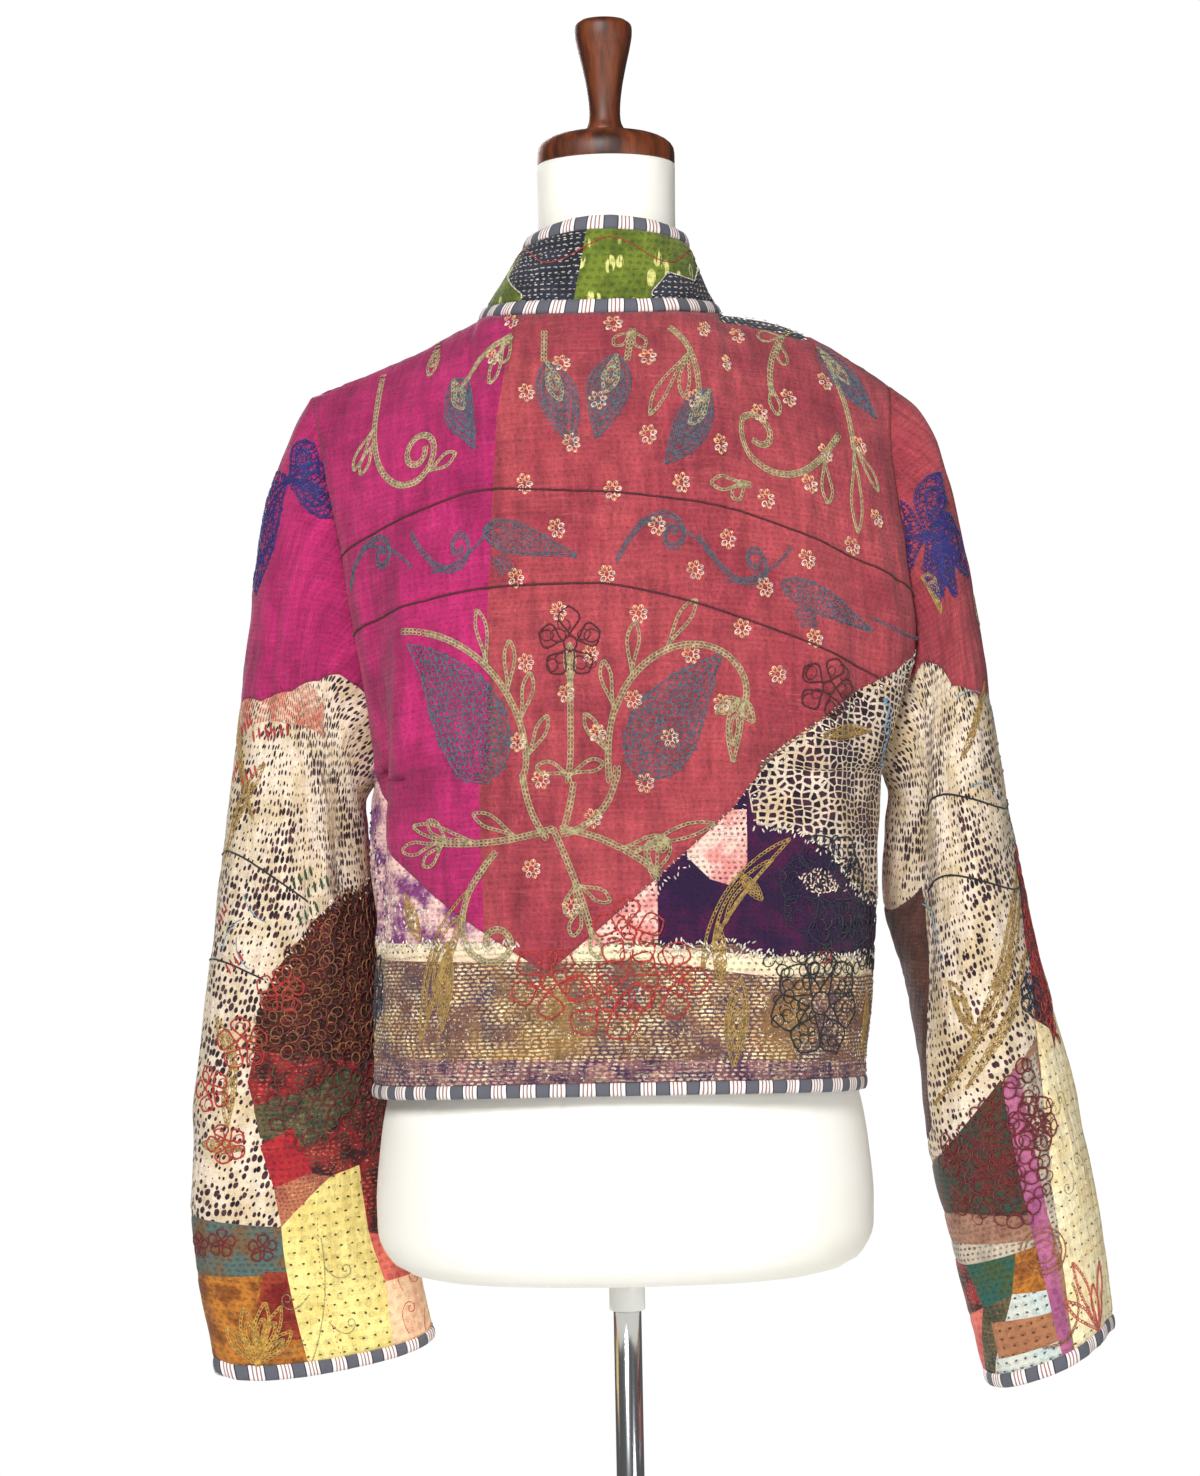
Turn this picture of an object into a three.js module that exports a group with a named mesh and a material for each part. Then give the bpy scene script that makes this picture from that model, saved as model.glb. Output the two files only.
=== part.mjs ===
// Cropped patchwork jacket of quilted cloth, worn by a limbless dress form on a round-based stand.
// Millimetres, +Z up. The origin is on the floor under the pole. The jacket's front faces -Y,
// and the wearer's left is +X.
import * as THREE from "three";

// ---- Driving dimensions ----
const clothWall = 2.6; // three quilted layers
const seamGap = 0.3; // between the pieces at a seam
const bindingWidth = 9; // striped tape that closes every raw edge
const bindingWall = 4.4; // tape folded over the edge of the cloth
const underarmShare = 0.42; // place of the underarm on the way from hem to shoulder
const seamDepth = -8; // y of the side seams and of the shoulder seams
const armholeDepth = { back: 46, front: -46 }; // how far the armhole opens behind and before the seam
const neckHalfWidth = 84;
const neckShift = 6; // the collar sits a little to the wearer's left
const shoulderRise = 51; // from the shoulder tip to the neck point
const shoulderPuff = { left: -4, right: 11 }; // how far the middle of each shoulder seam stands up
const shoulderShare = 0.6; // above this place the body's sections turn into its top edges
const neckShare = 0.54; // share of a top edge, from shoulder tip to centre, that is shoulder seam
const openingHalfWidth = { hem: 16, neck: 5 }; // between the middle and each front edge

// A table's rows, each with its columns by name.
const table = (columns, rows) =>
  rows.map((row) => Object.fromEntries(columns.map((name, i) => [name, row[i]])));

// Sections of the body, from the hem up to the shoulder and neck. share is the place on the way up;
// side, back and front are heights; left and right are half widths; backY and frontY are the depths at
// the middles; roundness is the exponent of the section, 2 for an ellipse and more for squarer corners.
const bodySections = table(
  ["share", "side", "back", "front", "left", "right", "backY", "frontY", "roundness"],
  [
    [0.0, 909, 915, 912, 173, 168, 121, -126, 2.6],
    [0.24, 1035, 1033, 1030, 169, 178, 120, -132, 2.5],
    [0.42, 1131, 1131, 1122, 167, 184, 119, -142, 2.5],
    [0.6, 1214, 1226, 1208, 176, 206, 118, -147, 2.2],
    [0.74, 1282, 1302, 1272, 186, 201, 114, -136, 2.0],
    [0.88, 1346, 1384, 1332, 198, 194, 98, -114, 1.8],
    [1.0, 1399, 1444, 1386, 208, 195, 64, -94, 1.7],
  ],
);

// Sections of each sleeve below the armhole. The outer line runs down from the shoulder and the inner
// line from the underarm; half is the half depth from front to back, and bulge is how far the middle of
// the back and of the front reach down the sleeve.
const sleeveColumns = ["share", "outer", "inner", "half", "bulge"];
const sleeveSections = {
  left: table(sleeveColumns, [
    [0.07, [222, -6, 1374], [181, -12, 1116], 52, 0],
    [0.16, [241, -6, 1322], [184, -24, 1090], 57, 0],
    [0.31, [257, -4, 1222], [180, -42, 1040], 57, 0],
    [0.47, [272, -4, 1110], [175, -58, 982], 51, 0],
    [0.62, [286, -6, 1000], [176, -70, 915], 44, 0],
    [0.76, [299, -10, 898], [164, -80, 850], 37, 0],
    [0.88, [302, -14, 805], [155, -86, 792], 31, 6],
    [1.0, [289, -18, 715], [143, -92, 730], 25, 12],
  ]),
  right: table(sleeveColumns, [
    [0.07, [-212, -6, 1382], [-194, -12, 1114], 54, 14],
    [0.16, [-228, -6, 1345], [-196, -22, 1086], 62, 12],
    [0.31, [-249, -4, 1256], [-194, -36, 1036], 69, 6],
    [0.47, [-267, -4, 1138], [-203, -42, 984], 69, 0],
    [0.62, [-288, -4, 1008], [-215, -46, 924], 66, 0],
    [0.76, [-312, -6, 900], [-225, -48, 856], 64, 0],
    [0.88, [-328, -8, 810], [-242, -48, 780], 61, 3],
    [1.0, [-337, -10, 731], [-259, -44, 703], 57, 6],
  ]),
};
const sleeveRoundness = 2.3;

const collarGap = 0.11; // angle from the middle of the front to each end of the collar
// Sections of the stand collar above the neck seam: half width, depths and heights at the middles.
const collarSections = [
  { share: 0.55, halfWidth: 66, backY: 58, frontY: -80, back: 1482, side: 1481, front: 1418 },
  { share: 1.0, halfWidth: 53.5, backY: 53, frontY: -68, back: 1513, side: 1506, front: 1440 },
];

// Soft folds of the cloth. at and atTop are places across the piece at the fold's lower and upper end,
// from and to are its places on the way up, width is across, and depth is outwards, or inwards if negative.
const folds = {
  back: [
    { at: 0.07, atTop: 0.1, from: 0.1, to: 0.78, width: 0.045, depth: -9 },
    { at: 0.13, atTop: 0.16, from: 0.08, to: 0.8, width: 0.04, depth: 5 },
    { at: 0.85, atTop: 0.87, from: 0.3, to: 0.85, width: 0.04, depth: -6 },
    { at: 0.79, atTop: 0.8, from: 0.12, to: 0.7, width: 0.05, depth: 4 },
    { at: 0.45, atTop: 0.42, from: 0.04, to: 0.4, width: 0.05, depth: -3 },
  ],
  left: [
    { at: 0.3, atTop: 0.36, from: 0.05, to: 0.75, width: 0.08, depth: -6 },
    { at: 0.62, atTop: 0.55, from: 0.02, to: 0.62, width: 0.09, depth: 5 },
  ],
  right: [
    { at: 0.28, atTop: 0.32, from: 0.05, to: 0.75, width: 0.08, depth: -5 },
    { at: 0.64, atTop: 0.6, from: 0.02, to: 0.6, width: 0.08, depth: 5 },
    { at: 0.27, atTop: 0.27, from: 0.78, to: 1, width: 0.2, depth: 13 },
  ],
  sleeve: [
    { at: 0.1, atTop: 0.16, from: 0.1, to: 0.6, width: 0.05, depth: -9 },
    { at: 0.32, atTop: 0.3, from: 0.3, to: 0.95, width: 0.06, depth: 4 },
    { at: 0.7, atTop: 0.72, from: 0.12, to: 0.7, width: 0.06, depth: -7 },
  ],
};

// Where the upper block of each piece is joined to the lower one: pairs of a place across the piece and
// the seam's place up the back, or down the sleeve. A sleeve's front half mirrors its back half.
const blockSeams = {
  back: [
    [0, 0.46],
    [0.1, 0.35],
    [0.4, 0.17],
    [0.5, 0.25],
    [0.65, 0.37],
    [0.7, 0.43],
    [0.85, 0.52],
    [1, 0.6],
  ],
  left: [[0, 0], [0.125, 0], [0.17, 0.05], [0.21, 0.12], [0.3, 0.23], [0.4, 0.32], [0.5, 0.37]],
  right: [[0, 0], [0.125, 0], [0.17, 0.05], [0.21, 0.12], [0.3, 0.27], [0.4, 0.38], [0.5, 0.42]],
};

// The dress form, from its base up: half width, depths behind and before, and roundness.
const formSections = table(
  ["z", "halfWidth", "back", "front", "roundness"],
  [
    [782, 136, 78, 82, 2.2],
    [786, 151, 91, 95, 2.2],
    [802, 169, 105, 108, 2.2],
    [828, 173.5, 110, 112, 2.2],
    [868, 171, 112, 111, 2.2],
    [906, 165, 109, 108, 2.2],
    [960, 148, 96, 101, 2.15],
    [1035, 126, 78, 90, 2.1],
    [1110, 138, 90, 105, 2.15],
    [1180, 152, 100, 126, 2.2],
    [1225, 157, 103, 132, 2.2],
    [1280, 162, 99, 114, 2.15],
    [1330, 168, 87, 90, 2.1],
    [1366, 170, 70, 68, 2.05],
    [1388, 163, 58, 55, 2.0],
    [1404, 147, 51, 49, 2.0],
    [1420, 121, 48, 48, 2.0],
    [1434, 92, 47, 48, 2.0],
    [1447, 67, 47, 48, 2.0],
    [1466, 52, 47, 48, 2.0],
    [1500, 48.5, 47, 48.5, 2.0],
    [1556, 48.5, 47.5, 48.5, 2.0],
  ],
);

const stand = {
  baseRadius: 178,
  baseHeight: 16,
  bossRadius: 22,
  bossHeight: 14,
  poleRadius: 9.75,
  socketRadius: 12.5,
  socketLength: 26,
};
const cap = { z: 1556.3, radius: 48.5, height: 22, rim: 8, finialFoot: 20 };

// How finely the pieces are cut into facets.
const facets = { shoulder: 6, neck: 6, hemToUnderarm: 7, armhole: 12, sleeveLength: 15, form: 40, lathe: 32 };

// ---- Shared functions ----
const clamp = (x) => Math.min(1, Math.max(0, x));
const smooth = (x) => clamp(x) ** 2 * (3 - 2 * clamp(x));
const mix = (a, b, t) => a + (b - a) * t;
const steps = (from, to, count) => Array.from({ length: count + 1 }, (_, i) => mix(from, to, i / count));
const signOf = { left: 1, right: -1 };

// The value of a column of a table at a share, on a smooth curve through its rows.
function tableValue(rows, share, column, key = "share") {
  const last = rows.length - 2;
  const above = rows.findIndex((row) => row[key] > share);
  const i = above < 0 ? last : Math.max(0, Math.min(last, above - 1));
  const slope = (a) => (rows[a + 1][column] - rows[a][column]) / (rows[a + 1][key] - rows[a][key]);
  const here = slope(i);
  const before = i > 0 ? (slope(i - 1) + here) / 2 : here;
  const after = i < last ? (here + slope(i + 1)) / 2 : here;
  const step = rows[i + 1][key] - rows[i][key];
  const t = (share - rows[i][key]) / step;
  return (
    rows[i][column] * (2 * t ** 3 - 3 * t ** 2 + 1) +
    before * step * (t ** 3 - 2 * t ** 2 + t) +
    rows[i + 1][column] * (3 * t ** 2 - 2 * t ** 3) +
    after * step * (t ** 3 - t ** 2)
  );
}

// The height of a line of straight stretches at a place across.
function lineValue(line, at) {
  const i = Math.max(1, line.findIndex(([x]) => x >= at));
  const [[x0, y0], [x1, y1]] = [line[i - 1], line[i]];
  return mix(y0, y1, (at - x0) / (x1 - x0));
}

// The places on a curve, given by a formula of 0 to 1, that are evenly spaced along it.
function evenPlaces(curve, count, samples = 600) {
  const lengths = [0];
  for (let i = 1; i <= samples; i++)
    lengths.push(lengths[i - 1] + curve(i / samples).distanceTo(curve((i - 1) / samples)));
  return steps(0, lengths[samples], count).map((want) => {
    const i = Math.max(1, lengths.findIndex((length) => length >= want - 1e-9));
    return (i - 1 + (want - lengths[i - 1]) / (lengths[i] - lengths[i - 1])) / samples;
  });
}

// A quarter of a section with unit half width and depth: from the side, (1, 0), to the middle, (0, 1),
// evenly along the true curve. flatness is depth over half width.
const quarterCount = 48;
const quarterPlaces = new Map();
function quarter(roundness, flatness, share) {
  const curve = (t, power, depth) => {
    const angle = (clamp(t) * Math.PI) / 2;
    return new THREE.Vector2(Math.max(0, Math.cos(angle)) ** power, depth * Math.sin(angle) ** power);
  };
  // the spacing is kept for rounded values, so that it is worked out only once for each
  const bent = Math.round(roundness * 20) / 20;
  const flat = Math.round(flatness * 20) / 20;
  const key = bent + "/" + flat;
  if (!quarterPlaces.has(key))
    quarterPlaces.set(key, evenPlaces((t) => curve(t, 2 / bent, flat), quarterCount));
  const places = quarterPlaces.get(key);
  const i = Math.min(quarterCount - 1, Math.floor(share * quarterCount));
  return curve(mix(places[i], places[i + 1], share * quarterCount - i), 2 / roundness, 1);
}

function foldDepth(list, across, up) {
  return list.reduce((sum, fold) => {
    const along = (up - fold.from) / (fold.to - fold.from);
    if (along <= 0 || along >= 1) return sum;
    const middle = mix(fold.at, fold.atTop, along);
    return sum + fold.depth * Math.sin(Math.PI * along) * Math.exp(-(((across - middle) / fold.width) ** 2));
  }, 0);
}

// ---- The jacket's surfaces ----
// Each is a function of a place across, 0 to 1, and a place on the way up or down, 0 to 1.

// The edge of a panel: the side seam up to the underarm, then the armhole up to the shoulder tip.
function panelEdge(side, half, share) {
  const open = clamp((share - underarmShare) / (1 - underarmShare));
  const reach = Math.max(0, 1 - (2 * open - 1) ** 2) ** 0.4;
  return new THREE.Vector3(
    signOf[side] * tableValue(bodySections, share, side),
    seamDepth + armholeDepth[half] * reach,
    tableValue(bodySections, share, "side"),
  );
}

// Half a panel: place runs from its edge at the side, 0, to the middle of the body, 1.
function halfPanel(side, half, place, share) {
  const edge = panelEdge(side, half, share);
  const halfGap = half === "front" ? mix(openingHalfWidth.hem, openingHalfWidth.neck, share) : 0;
  const middle = new THREE.Vector3(
    signOf[side] * halfGap + neckShift * smooth((share - shoulderShare) / (1 - shoulderShare)),
    tableValue(bodySections, share, half + "Y"),
    tableValue(bodySections, share, half),
  );
  const flatness = Math.abs((middle.y - edge.y) / (middle.x - edge.x));
  const body = quarter(tableValue(bodySections, share, "roundness"), flatness, place);

  // the top edge is a shoulder seam up to the neck point and then a quarter of the neckline
  const seam = clamp(place / neckShare);
  const turn = (clamp((place - neckShare) / (1 - neckShare)) * Math.PI) / 2;
  const neckPoint = (neckShift + signOf[side] * neckHalfWidth - middle.x) / (edge.x - middle.x);
  const neckWay = half === "back" ? Math.sin(turn) ** 2 : 1 - Math.cos(turn) ** 1.3;
  const top = {
    x: place < neckShare ? mix(1, neckPoint, seam) : neckPoint * Math.cos(turn),
    y: Math.sin(turn),
    z:
      edge.z +
      shoulderPuff[side] * Math.sin(seam * Math.PI) +
      (place < neckShare ? shoulderRise * seam : mix(shoulderRise, middle.z - edge.z, neckWay)),
  };
  // the cloth rises towards this edge and then turns over the shoulder
  const topWeight = clamp((share - shoulderShare) / (1 - shoulderShare)) ** 1.6;
  const rounding = 1 - Math.sqrt(Math.max(0, 1 - topWeight ** 2.4));
  return new THREE.Vector3(
    mix(middle.x, edge.x, mix(body.x, top.x, topWeight)),
    mix(edge.y, middle.y, mix(body.y, top.y, rounding)),
    mix(mix(edge.z, middle.z, body.y ** 2), top.z, topWeight),
  );
}

// The whole back: across runs from the wearer's left side to the right side.
const backSurface = (across, share) =>
  halfPanel(across <= 0.5 ? "left" : "right", "back", 2 * Math.min(across, 1 - across), share);

// A front: across runs from the side to the front edge.
const frontSurface = (side) => (across, share) => halfPanel(side, "front", across, share);

// The collar: across runs along the neckline from the left front edge, round the back, to the right one.
function neckline(across) {
  const side = across <= 0.5 ? "left" : "right";
  const quarters = 4 * Math.min(across, 1 - across);
  return quarters <= 1
    ? halfPanel(side, "front", mix(1, neckShare, quarters), 1)
    : halfPanel(side, "back", mix(neckShare, 1, quarters - 1), 1);
}
function collarSurface(across, share) {
  const angle = (1 - 2 * across) * (Math.PI - collarGap); // 0 at the centre back
  const [middle, upper] = collarSections.map((row) => {
    const behind = Math.cos(angle) > 0;
    const way = Math.abs(Math.cos(angle));
    return new THREE.Vector3(
      Math.sin(angle) * row.halfWidth + neckShift * (1 - row.share),
      way * (behind ? row.backY : row.frontY),
      mix(row.side, behind ? row.back : row.front, way ** 2),
    );
  });
  // a curve through the three heights
  const bend = collarSections[0].share;
  return new THREE.Vector3()
    .addScaledVector(neckline(across), ((share - bend) * (share - 1)) / bend)
    .addScaledVector(middle, (share * (share - 1)) / (bend * (bend - 1)))
    .addScaledVector(upper, (share * (share - bend)) / (1 - bend));
}

// The armhole: around runs from the underarm, 0, up the back to the shoulder, 0.5, and down the front.
const armholeEdge = (t) => panelEdge("left", "back", mix(underarmShare, 1, t));
const armholeShares = evenPlaces(armholeEdge, facets.armhole).map((t) => mix(underarmShare, 1, t));
function armholePoint(side, around) {
  const way = 2 * Math.min(around, 1 - around) * facets.armhole;
  const i = Math.min(facets.armhole - 1, Math.floor(way));
  const share = mix(armholeShares[i], armholeShares[i + 1], way - i);
  return panelEdge(side, around <= 0.5 ? "back" : "front", share);
}

// One ring of a sleeve below the armhole, from its row of the table.
function ringPoint(row, around) {
  const outer = new THREE.Vector3(...row.outer);
  const middle = new THREE.Vector3(...row.inner).lerp(outer, 0.5);
  const across = outer.sub(middle);
  const halfWidth = across.length();
  across.normalize();
  const behind = new THREE.Vector3(0, 1, 0);
  behind.addScaledVector(across, -behind.dot(across)).normalize();
  const along = behind.clone().cross(across); // down the sleeve
  if (along.dot(new THREE.Vector3(Math.sign(middle.x), 0, -1)) < 0) along.negate();
  const quarters = 4 * Math.min(around, 1 - around); // 0 at the inner line, 2 at the outer line
  const corner = quarter(sleeveRoundness, row.half / halfWidth, quarters <= 1 ? quarters : 2 - quarters);
  return middle
    .addScaledVector(across, (quarters <= 1 ? -1 : 1) * corner.x * halfWidth)
    .addScaledVector(behind, (around <= 0.5 ? 1 : -1) * corner.y * row.half)
    .addScaledVector(along, corner.y * row.bulge);
}

// A sleeve: around as at the armhole, and down runs from the armhole, 0, to the cuff, 1.
const sleeveSurface = (side) => {
  const knots = new Map();
  return (around, down) => {
    if (!knots.has(around)) {
      const rings = sleeveSections[side].map((row) => ({ share: row.share, point: ringPoint(row, around) }));
      const all = [{ share: 0, point: armholePoint(side, around) }, ...rings];
      knots.set(around, all.map(({ share, point }) => ({ share, x: point.x, y: point.y, z: point.z })));
    }
    return new THREE.Vector3(...["x", "y", "z"].map((axis) => tableValue(knots.get(around), down, axis)));
  };
};

// ---- Directions out of the cloth ----
function outwards(surface, across, up, facing) {
  const step = 0.004;
  const alongAcross = surface(Math.min(1, across + step), up).sub(surface(Math.max(0, across - step), up));
  const alongUp = surface(across, Math.min(1, up + step)).sub(surface(across, Math.max(0, up - step)));
  return alongAcross.cross(alongUp).multiplyScalar(facing).normalize();
}

// Along a seam both pieces use one direction, so that their edges stay parallel.
function armholeDirection(side, point) {
  const low = armholePoint(side, 0).z;
  const high = armholePoint(side, 0.5).z;
  const rise = (2 * (point.z - low)) / (high - low) - 1;
  return new THREE.Vector3(signOf[side] * 0.55, (point.y - seamDepth) / armholeDepth.back, rise).normalize();
}
function neckDirection(point) {
  const out = new THREE.Vector3(point.x - neckShift, point.y - seamDepth, 0).normalize();
  return out.setZ(0.7).normalize();
}
function topDirection(side, place, point) {
  const ridge = new THREE.Vector3(signOf[side] * 0.4, 0, 1).normalize();
  return ridge.lerp(neckDirection(point), smooth((place - neckShare + 0.12) / 0.12)).normalize();
}

// A wall keeps its thickness where the shared direction leans over.
function leaning(shared, straight) {
  return shared.divideScalar(Math.max(0.6, shared.dot(straight)));
}

function panelDirection(side, place, share, point, straight) {
  if (share > 0.999) return leaning(topDirection(side, place, point), straight);
  if (place < 0.001 && share > underarmShare - 0.001) return leaning(armholeDirection(side, point), straight);
  return straight;
}
const directions = {
  back: (across, share, point) =>
    panelDirection(
      across <= 0.5 ? "left" : "right",
      2 * Math.min(across, 1 - across),
      share,
      point,
      outwards(backSurface, across, share, 1),
    ),
  front: (side) => (across, share, point) =>
    panelDirection(side, across, share, point, outwards(frontSurface(side), across, share, -signOf[side])),
  collar: (across, share, point) => {
    const straight = outwards(collarSurface, across, share, 1);
    return share < 0.001 ? leaning(neckDirection(point), straight) : straight;
  },
  sleeve: (side, surface) => (around, down, point) => {
    const straight = outwards(surface, around, down, signOf[side]);
    return down < 0.001 ? leaning(armholeDirection(side, point), straight) : straight;
  },
};

// ---- Walls of cloth ----
// Columns of places, each a list of [across, up], become a closed wall. A column may be shorter than its
// neighbour. facing is -1 when across and up go the other way about, and around joins the last column to
// the first. Edges that meet another piece stand back by half the seam's gap.
function wall(surface, direction, places, options = {}) {
  const { facing = 1, around = false, thickness = () => clothWall, folds = [], inset = {} } = options;
  const bare = places.map((list) => list.map(([across, up]) => surface(across, up)));
  const towards = (point, other, gap = seamGap / 2) => other.clone().sub(point).setLength(gap);
  const columns = bare.map((list, i) =>
    list.map((base, j) => {
      const [across, up] = places[i][j];
      const point = base.clone();
      const single = list.length === 1;
      const neighbour = i === 0 ? bare[1] : bare[i - 1];
      if (single) point.add(towards(base, neighbour[0].clone().lerp(neighbour[1], 0.5), 3 * seamGap));
      if (!single && j === 0 && inset.low !== false) point.add(towards(base, list[1]));
      if (!single && j === list.length - 1 && inset.high !== false) point.add(towards(base, list[j - 1]));
      const top = j === list.length - 1 || j >= neighbour.length;
      const beside = neighbour[top ? neighbour.length - 1 : j];
      const first = i === 0 && inset.first !== false;
      const last = i === bare.length - 1 && inset.last !== false;
      if (!single && !around && (first || last)) point.add(towards(base, beside));
      const out = direction(across, up, base);
      point.addScaledVector(out, foldDepth(folds, across, up));
      return { point, out, up, half: thickness(j, list.length) / 2 };
    }),
  );
  const all = columns.flat();
  const number = new Map(all.map((vertex, i) => [vertex, i]));
  const faces = [];
  const face = (a, b, c) => faces.push(facing > 0 ? [a, b, c] : [a, c, b]);
  const pairs = columns.map((list, i) => [list, columns[(i + 1) % columns.length]]);
  for (const [left, right] of around ? pairs : pairs.slice(0, -1)) {
    let [i, j] = [0, 0];
    while (i < left.length - 1 || j < right.length - 1) {
      const climbLeft = j === right.length - 1 || (i < left.length - 1 && left[i + 1].up <= right[j + 1].up);
      const next = climbLeft ? left[i + 1] : right[j + 1];
      face(number.get(left[i]), number.get(right[j]), number.get(next));
      if (climbLeft) i++;
      else j++;
    }
  }
  const layer = (way) => all.map(({ point, out, half }) => point.clone().addScaledVector(out, way * half));
  const corners = [...layer(1), ...layer(-1)];
  const edges = new Set(faces.flatMap(([a, b, c]) => [a + "/" + b, b + "/" + c, c + "/" + a]));
  const triangles = faces.flatMap(([a, b, c]) => [a, b, c, a + all.length, c + all.length, b + all.length]);
  for (const edge of edges) {
    const [a, b] = edge.split("/").map(Number);
    if (edges.has(b + "/" + a)) continue;
    // the shorter diagonal, so that both pieces of a seam turn their edges alike
    const [innerA, innerB] = [a + all.length, b + all.length];
    const shorter = corners[a].distanceTo(corners[innerB]) < corners[b].distanceTo(corners[innerA]);
    triangles.push(...(shorter ? [a, innerA, innerB, a, innerB, b] : [a, innerA, b, b, innerA, innerB]));
  }
  const geometry = new THREE.BufferGeometry();
  geometry.setAttribute("position", new THREE.Float32BufferAttribute(corners.flatMap((p) => p.toArray()), 3));
  geometry.setIndex(triangles);
  return geometry;
}

// The columns on one side of a seam that crosses a piece. Rows too near the seam are left out.
const seamClear = 0.012;
const beyondSeam = (acrosses, rows, cutAt) =>
  acrosses.map((across) => {
    const cut = cutAt(across);
    return [cut, ...rows.filter((row) => row > cut + seamClear)].map((row) => [across, row]);
  });
const beforeSeam = (acrosses, rows, cutAt) =>
  acrosses.map((across) => {
    const cut = cutAt(across);
    return [...rows.filter((row) => row < cut - seamClear), cut].map((row) => [across, row]);
  });
const grid = (acrosses, rows) => acrosses.map((across) => rows.map((row) => [across, row]));

// A binding is thickest along its middle.
const tapeRows = (from, to) => [from, mix(from, to, 0.5), to];
const tapeThickness = (row) => (row === 1 ? bindingWall : clothWall + 0.4);

// ---- Materials ----
const finish = (color, roughness, metalness = 0) =>
  new THREE.MeshStandardMaterial({ color, roughness, metalness });
const finishes = {
  berryCloth: finish(0xa63a55, 0.92),
  creamCloth: finish(0xb3a487, 0.92),
  taupeCloth: finish(0x85745c, 0.92),
  collarCloth: finish(0x55602c, 0.92),
  stripedTape: finish(0x8d8a8c, 0.85),
  canvas: finish(0xf3ecd8, 0.8),
  wood: finish(0x6b2f1a, 0.35),
  chrome: finish(0xd0d2d6, 0.12, 1),
  enamel: finish(0xf0efec, 0.35),
};

const jacketOnForm = new THREE.Group();
function addPiece(name, geometry, material, z = 0) {
  const mesh = new THREE.Mesh(geometry, material);
  mesh.name = name;
  mesh.position.z = z;
  jacketOnForm.add(mesh);
}

// ---- The body ----
const bodyLength = 540;
const frontWidth = 255;
const hemBand = bindingWidth / bodyLength;
const frontBand = bindingWidth / frontWidth;
const seamPlaces = steps(0, neckShare, facets.shoulder);
const backHalf = [...seamPlaces, ...steps(neckShare, 1, facets.neck).slice(1)];
const mirrored = (places) => [...places, ...places.toReversed().slice(1).map((place) => 1 - place)];
const backPlaces = mirrored(backHalf.map((place) => place / 2));
const frontPlaces = [...seamPlaces, ...steps(neckShare, 1 - frontBand, facets.neck - 1).slice(1)];
const bodyRows = [...steps(hemBand, underarmShare, facets.hemToUnderarm), ...armholeShares.slice(1)];

const backOptions = { folds: folds.back };
const backCut = (across) => lineValue(blockSeams.back, across);
const above = beyondSeam(backPlaces, bodyRows, backCut);
const below = beforeSeam(backPlaces, bodyRows, backCut);
addPiece("back_upper", wall(backSurface, directions.back, above, backOptions), finishes.berryCloth);
addPiece("back_lower", wall(backSurface, directions.back, below, backOptions), finishes.taupeCloth);

for (const side of ["left", "right"]) {
  const facing = -signOf[side];
  const surface = frontSurface(side);
  const direction = directions.front(side);
  const panel = wall(surface, direction, grid(frontPlaces, bodyRows), { facing, folds: folds[side] });
  addPiece("front_" + side, panel, finishes.berryCloth);
  // the tape's own rows run across, so its places are turned
  const turned = (across, up) => surface(up, across);
  const tapeDirection = (across, up, point) => direction(up, across, point);
  const tapePlaces = grid(bodyRows, tapeRows(1 - frontBand, 1));
  const options = { facing: -facing, thickness: tapeThickness, inset: { high: false } };
  addPiece("front_binding_" + side, wall(turned, tapeDirection, tapePlaces, options), finishes.stripedTape);
}

// ---- The hem's tape runs from the left front edge, round the back, to the right front edge ----
const wholeFront = [...frontPlaces, 1];
const hemPlaces = [
  ...wholeFront.toReversed().map((place) => (1 - place) / 4),
  ...backPlaces.slice(1).map((place) => 0.25 + place / 2),
  ...wholeFront.slice(1).map((place) => 0.75 + place / 4),
];
function roundTheBody(across, up) {
  if (across < 0.25) return frontSurface("left")(1 - 4 * across, up);
  if (across <= 0.75) return backSurface(2 * across - 0.5, up);
  return frontSurface("right")(4 * across - 3, up);
}
const hemDirection = (across, up) => outwards(roundTheBody, across, up, 1);
const hemOptions = { thickness: tapeThickness, inset: { low: false, first: false, last: false } };
const hemTape = wall(roundTheBody, hemDirection, grid(hemPlaces, tapeRows(0, hemBand)), hemOptions);
addPiece("hem_binding", hemTape, finishes.stripedTape);

// ---- The collar between two tapes ----
const collarHeight = 68;
const collarBand = bindingWidth / collarHeight;
const neckQuarter = (place) => (place - neckShare) / (1 - neckShare) / 4;
const frontQuarter = wholeFront.filter((place) => place >= neckShare).map(neckQuarter);
const backQuarter = backHalf.filter((place) => place >= neckShare).map(neckQuarter);
const neckPlaces = mirrored([
  ...frontQuarter.toReversed().map((way) => 0.25 - way),
  ...backQuarter.slice(1).map((way) => 0.25 + way),
]);
const collarParts = [
  {
    name: "neck_binding",
    rows: tapeRows(0, collarBand),
    thickness: tapeThickness,
    material: finishes.stripedTape,
  },
  { name: "collar", rows: steps(collarBand, 1 - collarBand, 3), material: finishes.collarCloth },
  {
    name: "collar_binding",
    rows: tapeRows(1 - collarBand, 1),
    thickness: tapeThickness,
    material: finishes.stripedTape,
    inset: { high: false },
  },
];
for (const { name, rows, thickness, material, inset = {} } of collarParts) {
  const options = { thickness, inset: { first: false, last: false, ...inset } };
  addPiece(name, wall(collarSurface, directions.collar, grid(neckPlaces, rows), options), material);
}

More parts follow.
